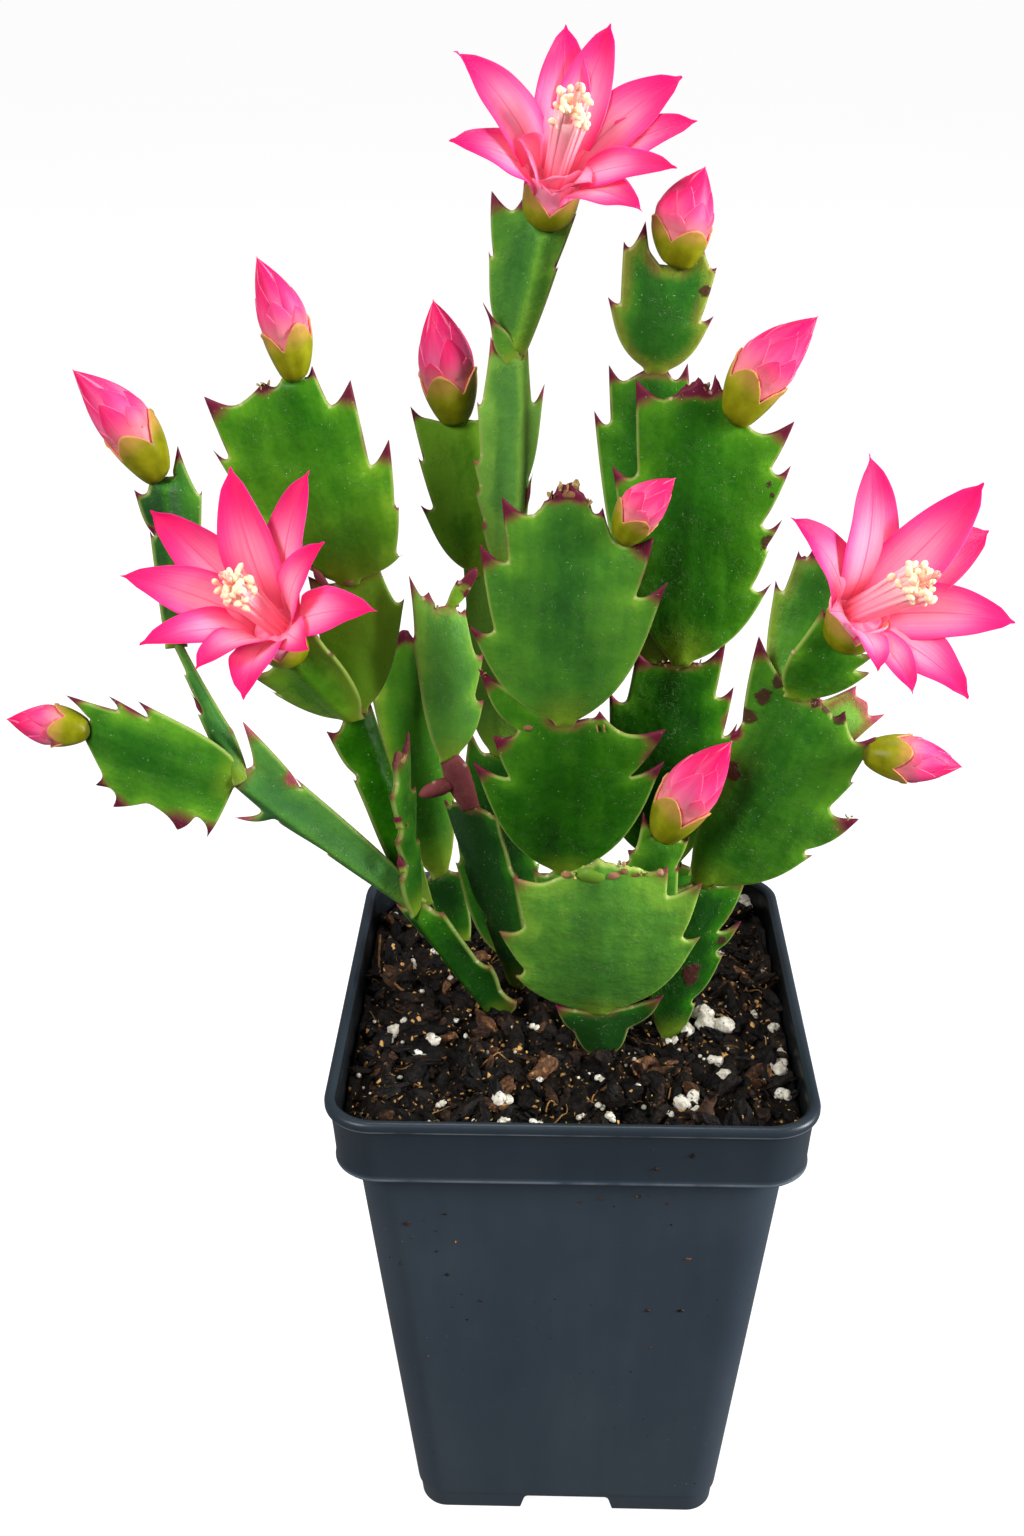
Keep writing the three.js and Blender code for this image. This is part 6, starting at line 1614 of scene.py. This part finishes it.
CORNER_STEPS, SIDE_STEPS = 12, 9
DRAIN_PLACES = ((21, 0), (-21, 0), (0, 21), (0, -21))
DRAIN_RADIUS = 3
DRILL_SIDES = 32
SHARP_ANGLE = 42


def body_half(z):
    """Half the width of the tapered body at a height."""
    return lerp(BASE_WIDTH, BODY_TOP_WIDTH, z / BAND_FOOT) / 2


def wall_half(z):
    """How far out a splash sits on the pot's wall or band."""
    if z < BAND_FOOT:
        return body_half(z) + 0.3
    return lerp(BAND_FOOT_WIDTH, RIM_WIDTH - 2, (z - BAND_FOOT) / BAND_HEIGHT) / 2


def square_ring(half, radius, z):
    """A square with rounded corners, with even points along its sides."""
    def corner_point(number, angle):
        turned = math.pi / 2 * (number + 0.5)
        middle = np.array([np.sign(math.cos(turned)), np.sign(math.sin(turned))]) * (half - radius)
        return middle + radius * np.array([math.cos(angle), math.sin(angle)])

    ring = []
    for number in range(4):
        angles = np.linspace(number, number + 1, CORNER_STEPS + 1) * math.pi / 2
        arc = [corner_point(number, a) for a in angles]
        onward = corner_point(number + 1, math.pi / 2 * (number + 1))
        shares = (0.02, *np.linspace(0.1, 0.9, SIDE_STEPS), 0.98)
        ring += arc + [lerp(arc[-1], onward, s) for s in shares]
    return np.array([(x, y, z) for x, y in ring])


def loft(clay, sections):
    """A closed body through rounded squares, each (height, half width, corner radius)."""
    rings = [square_ring(half, radius, z) for z, half, radius in sections]
    clay.add(np.concatenate(rings), capped_faces(len(rings), len(rings[0])))


def carved(blank, cutters):
    """The blank with each cutter taken away; the cutters are used up."""
    for cutter in cutters:
        cut = blank.modifiers.new("cut", "BOOLEAN")
        cut.object, cut.operation, cut.solver = cutter, "DIFFERENCE", "EXACT"
    bpy.context.view_layer.update()
    shaped = bpy.data.meshes.new_from_object(blank.evaluated_get(bpy.context.evaluated_depsgraph_get()))
    blank.modifiers.clear()
    blank.data = shaped
    for cutter in cutters:
        bpy.data.objects.remove(cutter)


def block(points, faces):
    """A cutter or a filler for the pot."""
    mesh = bpy.data.meshes.new("cutter")
    mesh.from_pydata((np.array(points) * MM).tolist(), [], faces)
    cutter = bpy.data.objects.new("cutter", mesh)
    bpy.context.collection.objects.link(cutter)
    return cutter


def channel(turned, rise, near, far):
    """A cutter for a channel between the feet, across or along the base, with eased top edges."""
    half = NOTCH_WIDTH / 2
    right = [(half + 1.3, -1), (half, rise - 0.9), (half - 0.3, rise - 0.3), (half - 0.9, rise)]
    left = [(-x, z) for x, z in reversed(right)]
    profile = [left[-1], *right, *left[:-1]]
    points = [(x, y, z) for y in (near, far) for x, z in profile]
    if turned:
        points = [(-y, x, z) for x, y, z in points]
    n = len(profile)
    faces = [tuple(range(n)), tuple(range(2 * n - 1, n - 1, -1))]
    faces += [(i, n + i, n + (i + 1) % n, (i + 1) % n) for i in range(n)]
    return block(points, faces)


def drill(x, y, radius, low, high):
    """An upright round cutter."""
    angles = [2 * math.pi * k / DRILL_SIDES for k in range(DRILL_SIDES)]
    points = [(x + radius * math.cos(a), y + radius * math.sin(a), z) for z in (low, high) for a in angles]
    return block(points, capped_faces(2, DRILL_SIDES))


def pot_sections():
    """The wall as (height, half width, corner radius): up its outside, over the lip and down its inside."""
    rim, band = RIM_WIDTH / 2, BAND_FOOT_WIDTH / 2
    body = (  # height, where the taper is read, how far out from it, corner radius
        (0, 0, -0.9, 5.2), (0.1, 0, -0.5, 5.6), (0.4, 0, -0.14, 5.9), (0.9, 0.9, 0, 6), (5.2, 5.2, 0, 6.3),
        (5.5, 5.5, 0.06, 6.4), (5.75, 5.75, 0.3, 6.5), (6.1, 6.1, 0.4, 6.6), (6.8, 6.8, 0.4, 6.6),
        (40, 40, 0.34, 7.2), (BAND_FOOT - 1, BAND_FOOT, 0.15, 8.4), (BAND_FOOT - 0.1, BAND_FOOT, 0.2, 8.4),
    )
    bead = (  # above the band's foot, how far out from its width there, corner radius
        (0, -2.6, 8.8), (0.06, -0.6, 9.4), (0.2, -0.12, 9.6), (0.5, 0.1, 9.7), (0.9, 0.1, 9.7),
        (1.25, -0.08, 9.6), (1.6, -0.12, 9.6),
    )
    lip = (  # below the top, how far in from the rim, corner radius
        (3.4, 1, RIM_CORNER), (2.8, 0.85, RIM_CORNER), (2.45, 0.4, 10.2), (2.1, 0.08, 10.4), (1.7, 0, 10.4),
        (0.9, 0, 10.4), (0.45, 0.14, 10.3), (0.12, 0.45, 10), (0, 0.9, 9.8), (0, 1.35, 9.6), (0.12, 1.65, 9.4),
        (0.3, 1.8, 9.3), (0.5, 2.0, 9.1), (0.6, 2.2, 8.9), (0.9, LIP, SOIL_CORNER), (2.6, LIP, SOIL_CORNER),
    )
    return (
        *((z, body_half(at) + out, corner) for z, at, out, corner in body),
        *((BAND_FOOT + rise, band + out, corner) for rise, out, corner in bead),
        (BAND_FOOT + 8, (band + rim - 0.9) / 2 - 0.1, 9.8),
        *((POT_HEIGHT - drop, rim - inset, corner) for drop, inset, corner in lip),
        (BAND_FOOT + 2, band - WALL, SOIL_CORNER), (BAND_FOOT, body_half(BAND_FOOT) - WALL, 7.4),
        (FLOOR_TOP + 0.8, body_half(FLOOR_TOP) - WALL, 5.4), (FLOOR_TOP, body_half(FLOOR_TOP) - WALL - 0.8, 4.8),
    )


def shape_pot(finish):
    """The moulded pot: feet, tapered walls, a deep band with a beaded foot, a rolled rim, hollow to its floor."""
    clay = Clay()
    loft(clay, pot_sections())
    pot = clay.cast("nursery_pot", finish, "pot_plastic", "pot")
    ways = (False, True)
    cutters = [channel(turned, FOOT_HEIGHT, -BASE_WIDTH, BASE_WIDTH) for turned in ways]
    for near, far in ((-BASE_WIDTH, NOTCH_INSIDE - BASE_WIDTH / 2), (BASE_WIDTH / 2 - NOTCH_INSIDE, BASE_WIDTH)):
        cutters += [channel(turned, NOTCH_HEIGHT, near, far) for turned in ways]
    cutters += [drill(x, y, DRAIN_RADIUS, FOOT_HEIGHT - 2, FLOOR_TOP + 2) for x, y in DRAIN_PLACES]
    carved(pot, cutters)
    pad = drill(0, 0, PAD_RADIUS, 0.02, FOOT_HEIGHT + 0.6)
    welded = bmesh.new()
    welded.from_mesh(pot.data)
    welded.from_mesh(pad.data)
    welded.to_mesh(pot.data)
    welded.free()
    bpy.data.objects.remove(pad)
    pot.data.polygons.foreach_set("use_smooth", [True] * len(pot.data.polygons))
    pot.data.set_sharp_from_angle(angle=math.radians(SHARP_ANGLE))


# soil splashed on the front wall: across, height, radius
SPLASHES = (
    (-34, 95, 0.6), (-33, 91, 0.3), (-30, 96, 0.3), (-26, 98, 0.4), (-28, 93, 0.2), (-24, 90, 0.4), (-28, 87, 0.3),
    (-26, 80, 0.55), (-19, 72, 0.5), (-25, 70, 0.3), (-23, 74, 0.2), (-22, 66, 0.3), (-31, 60, 0.2), (-11, 60, 0.2),
    (6, 103, 0.35), (2, 102, 0.3), (9, 101, 0.2), (14, 104, 0.5), (20, 102, 0.4), (17, 115, 0.5), (16, 120, 0.25),
    (21, 96, 0.3), (25, 86, 0.6), (17, 70, 0.6), (24, 70, 0.55), (18, 58, 0.3), (14, 50, 0.3), (-3, 73, 0.2),
    (-1, 26, 0.2), (4, 34, 0.2), (28, 11, 0.3), (30, 11, 0.25), (-38, 85, 0.25), (-36, 83, 0.35), (-43, 124, 0.35),
    (-21, 60, 0.2), (-27, 56, 0.2), (-31, 54, 0.3), (-33, 47, 0.25), (-25, 46, 0.2),
)


BACK_SPLASHES = 26  # on each of the other three walls
SPLASH_HEIGHTS = (8, 118)


def shape_splashes(finish, rng):
    """Small spots of soil on the walls."""
    clay = Clay()
    upright = np.eye(3)
    for number, (x, z, radius) in enumerate(SPLASHES):
        radii = (radius * rng.uniform(0.8, 1.5), radius * 0.4, radius * rng.uniform(0.6, 0.9))
        place = (x, -wall_half(z), z)
        lump(clay, place, radii, upright, 2, 0.35, number * 1.3, tone=rng.uniform(0.15, 0.75), gold=0.0)
    for side in range(3):
        for number in range(BACK_SPLASHES):
            z = rng.uniform(*SPLASH_HEIGHTS)
            half = wall_half(z)
            x, radius = rng.uniform(-0.8, 0.8) * half, rng.uniform(0.12, 0.4)
            place = ((half, x, z), (-half, x, z), (x, half, z))[side]
            radii = [radius, radius, radius * 0.8]
            radii[0 if side < 2 else 1] = radius * 0.4
            lump(clay, place, radii, upright, 1, 0.3, number, tone=rng.uniform(0.15, 0.7), gold=0.0)
    clay.cast("soil_splashes", finish, "potting_mix")


# ---------------------------------------------------------------- the potting mix

SOIL_HALF = BAND_FOOT_WIDTH / 2 - WALL - 0.3
CLEAR_CORNER = 7.6
BED_STEP = 1.1
BED_RINGS = 58
CHIPS = 1700
CHIP_TONES = (0.02, 0.12, 0.24, 0.4, 0.58, 0.76)
CHIP_SHARES = (0.27, 0.25, 0.18, 0.15, 0.11, 0.04)
CRUMBS = 700
FIBRES = 95
SMALL_GRAINS = 90

# white grains: across, depth, radius
PERLITE = (
    (-37, 30, 1.2), (-42, -10, 0.8), (-39, -9, 1.5), (-40, -12, 1.2), (-37, -6, 1.0), (-33, -17, 1.0), (-33, -20, 0.8),
    (-31, -19, 1.0), (-30, -14, 1.3), (-26, -5, 1.0), (-23, -10, 0.6), (-16, -4, 1.0), (-13, -7, 0.4), (-8, -9, 0.9),
    (-7, -25, 1.0), (-14, -34, 1.9), (-14, -40, 1.4), (-27, -34, 1.1), (-25, -41, 0.7), (6, -26, 1.0), (6, -17, 0.6),
    (9, -30, 0.8), (14, -27, 1.4), (6, -35, 0.9), (2, -38, 0.8), (25, -8, 1.6), (29, -5, 2.7), (33, -6, 2.7),
    (31, -18, 1.4), (33, -24, 1.7), (22, -12, 1.3), (24, -33, 2.0), (26, -36, 1.4), (20, -37, 0.8), (27, 43, 1.8),
    (43, 45, 1.9), (39, 45, 1.0), (41, -1, 1.1), (44, -7, 1.4), (43, -21, 2.0), (45, -20, 1.2), (45, -16, 1.0),
    (45, -25, 0.9), (43, -29, 1.0), (44, -30, 1.4), (40, -27, 1.0), (35, -36, 1.1), (38, -37, 0.6), (36, -39, 0.5),
    (32, -41, 0.7), (-37, 16, 1.0), (-37, 18, 0.7), (-34, 8, 0.7), (-28, 12, 0.9), (-32, 22, 0.8), (-43, 40, 0.7),
    (-45, -23, 0.7), (-45, -25, 0.7), (-18, -16, 0.6), (-39, -18, 0.4), (-36, -26, 0.6), (-3, -18, 0.4),
    (-12, -17, 0.4), (-12, -28, 0.5), (-7, -40, 1.1), (-20, -40, 0.8), (15, -34, 0.6), (44, 6, 0.9), (45, 17, 0.8),
    (8, -40, 1.1), (-8, 38, 1.3), (10, 41, 1.0), (-20, 44, 1.1), (35, 24, 1.2), (22, 33, 0.9), (-3, -44, 0.9),
)
# fine twigs on the bed, as places across and in depth
TWIGS = (((-46, 31), (-45, 18), (-44, 12), (-41, 8), (-38, 5)), ((29, -10), (30, -7), (31.5, -3)))


def soil_top(x, y):
    """The height of the bed of potting mix at a place."""
    lumps = 0.5 * math.sin(x * 0.31 + 1.3 * math.sin(y * 0.17)) + 0.35 * math.sin(y * 0.43 + 2.1 * math.cos(x * 0.23))
    lumps += 0.3 * math.sin(x * 0.71 + y * 0.57)
    layers = ((0.22, 3, 1.1), (0.6, 8, 0.8), (1.5, 15, 0.45))
    crumbs = sum(noise.noise(Vector((x * scale, y * scale, layer))) * depth for scale, layer, depth in layers)
    return SOIL_LEVEL + 1.1 * lumps + crumbs


def shape_bed(bark):
    """The bed of mix: it fills the pot from its floor and has a lumpy top."""
    rim = square_ring(SOIL_HALF, SOIL_CORNER, 0)
    around = []
    for a, b in zip(rim, np.roll(rim, -1, axis=0)):
        count = max(1, round(np.linalg.norm(b - a) / BED_STEP))
        around += [lerp(a, b, i / count) for i in range(count)]
    around = np.array(around)[:, :2]
    walls = (
        (FLOOR_TOP + 0.3, body_half(FLOOR_TOP) - WALL - 0.3), (BAND_FOOT, body_half(BAND_FOOT) - WALL - 0.3),
        (BAND_FOOT + 2, SOIL_HALF - 0.2), (SOIL_LEVEL - 2.5, SOIL_HALF),
    )
    rings = [np.column_stack([around * (half / SOIL_HALF), np.full(len(around), z)]) for z, half in walls]
    for share in np.linspace(1, 0.012, BED_RINGS):
        rings.append(np.array([(x, y, soil_top(x, y)) for x, y in around * share]))
    points = np.concatenate(rings)
    bed = Clay()
    bed.add(points, capped_faces(len(rings), len(around)), tone=0.2 + 0.22 * waver(points, 0.12, 4.0), gold=0.0)
    bed.cast("bark_bed", bark, "potting_mix", "soil")


def somewhere(rng):
    """A random place on the bed, clear of the wall."""
    reach, middle = SOIL_HALF - 1.5, SOIL_HALF - SOIL_CORNER
    while True:
        x, y = rng.uniform(-reach, reach, 2)
        if max(abs(x) - middle, 0) ** 2 + max(abs(y) - middle, 0) ** 2 < CLEAR_CORNER ** 2:
            return x, y


def shape_chips(bark, rng):
    """Loose chunks of bark, and crumbs between them of which some are golden."""
    chips = Clay()
    for number in range(CHIPS):
        x, y = somewhere(rng)
        size = 0.45 + 2.3 * rng.random() ** 2.8
        radii = (size * rng.uniform(1.0, 2.1), size * rng.uniform(0.5, 0.9), size * rng.uniform(0.35, 0.7))
        shade = rng.choice(CHIP_TONES, p=CHIP_SHARES)
        centre = (x, y, soil_top(x, y) + size * rng.uniform(0.05, 0.5))
        level = 2 if size < 2.3 else 3
        lump(chips, centre, radii, any_turn(rng, 1.1), level, 0.5, number * 0.77, tone=shade, gold=0.0)
    for number in range(CRUMBS):
        x, y = somewhere(rng)
        size = rng.uniform(0.12, 0.36)
        centre = (x, y, soil_top(x, y) + rng.uniform(0.4, 1.7))
        radii = (size * rng.uniform(1, 2.0), size, size * 0.6)
        turn = any_turn(rng, 1.4)
        tone, gold = rng.uniform(0.55, 1.0), rng.choice((0.0, 0.5, 1.0))
        lump(chips, centre, radii, turn, 1, 0.2, number, tone=tone, gold=gold)
    chips.cast("bark_chips", bark, "potting_mix", smooth=False)


def laid(flat, lift, arc):
    """A thread's path over the bed: lifted off it by one height and arched by its own."""
    return np.array([(x, y, soil_top(x, y) + lift + a) for (x, y), a in zip(flat, arc)])


def shape_fibres(bark, rng):
    """Curved fibres and two twigs on the bed."""
    strands = Clay()
    steps = np.linspace(0, 1, 10)
    for _ in range(FIBRES):
        x, y = somewhere(rng)
        heading = rng.uniform(0, 2 * math.pi)
        reach = rng.uniform(2, 9)
        ways = heading + rng.uniform(-1.6, 1.6) * steps
        flat = np.cumsum(np.stack([np.cos(ways), np.sin(ways)], axis=1) * reach / len(steps), axis=0) + (x, y)
        flat = np.clip(flat, -SOIL_HALF + 1.2, SOIL_HALF - 1.2)
        path = laid(flat, 0.5, rng.uniform(0.1, 1.6) * np.sin(math.pi * steps))
        radii = rng.uniform(0.07, 0.2) * (1.1 - 0.5 * steps)
        tube(strands, path, radii, 5, tone=rng.uniform(0.55, 0.95), gold=rng.uniform(0, 0.5))
    for twig in TWIGS:
        corners = np.arange(len(twig))
        shares = np.linspace(0, corners[-1], 24)
        flat = np.stack([np.interp(shares, corners, line) for line in zip(*twig)], axis=1)
        tube(strands, laid(flat, 1.0, np.zeros(len(flat))), 0.34, 6, tone=0.8, gold=0.12)
    strands.cast("fibres", bark, "potting_mix")


def shape_perlite(white, rng):
    """Perlite: each listed grain as one to five bulbs, and small ones anywhere."""
    grains = Clay()
    for number, (x, y, radius) in enumerate(PERLITE):
        bulbs = 1 if radius < 0.8 else 3 if radius < 1.5 else 5
        for bulb in range(bulbs):
            share = 1 if bulbs == 1 else rng.uniform(0.58, 0.85)
            radii = radius * share * np.array([rng.uniform(0.85, 1.2), rng.uniform(0.8, 1.1), rng.uniform(0.7, 0.95)])
            angle, away = rng.uniform(0, 2 * math.pi), 0 if bulbs == 1 else radius * rng.uniform(0.35, 0.7)
            spot = (x + away * math.cos(angle), y + away * math.sin(angle))
            centre = (*spot, soil_top(*spot) + radius * rng.uniform(0.35, 0.7) + 0.3)
            lump(grains, centre, radii, any_turn(rng, 0.8), 3 if radius > 0.9 else 2, 0.3, number * 2.1 + bulb)
    for number in range(SMALL_GRAINS):
        x, y = somewhere(rng)
        radius = rng.uniform(0.18, 0.5)
        lump(grains, (x, y, soil_top(x, y) + radius + 0.3), (radius, radius, radius), np.eye(3), 1, 0.2, number)
    grains.cast("perlite_grains", white, "potting_mix")


# ---------------------------------------------------------------- the floor


FLOOR_REACH = 60.0
FLOOR_POINTS = 24


def lay_floor(finish):
    """A wide floor, measured in metres."""
    line = np.linspace(-FLOOR_REACH, FLOOR_REACH, FLOOR_POINTS)
    points = [(x, y, 0.0) for y in line for x in line]
    mesh = bpy.data.meshes.new("floor")
    mesh.from_pydata(points, [], grid_faces(FLOOR_POINTS, FLOOR_POINTS))
    mesh.materials.append(finish)
    floor = bpy.data.objects.new("floor", mesh)
    floor.visible_diffuse = floor.visible_glossy = False  # the plant is lit by the soft boxes alone
    bpy.context.collection.objects.link(floor)


# ---------------------------------------------------------------- the whole plant

set_camera()
set_light()
rng = np.random.default_rng(7)
green, olive, pink, furled, cream = stem_finish(), cup_finish(), petal_finish(), tepal_finish(), stamen_finish()
bark = soil_finish()
lay_floor(floor_finish())
shape_pot(pot_finish())
shape_splashes(bark, rng)
shape_bed(bark)
shape_chips(bark, rng)
shape_fibres(bark, rng)
shape_perlite(perlite_finish(), rng)
shape_stems(green)
shape_dried_scales(green, rng)
for number, name in enumerate(BUDS):
    shape_bud(name, olive, furled, number)
for number, name in enumerate(BLOOMS):
    shape_bloom(name, olive, pink, cream, rng, number)
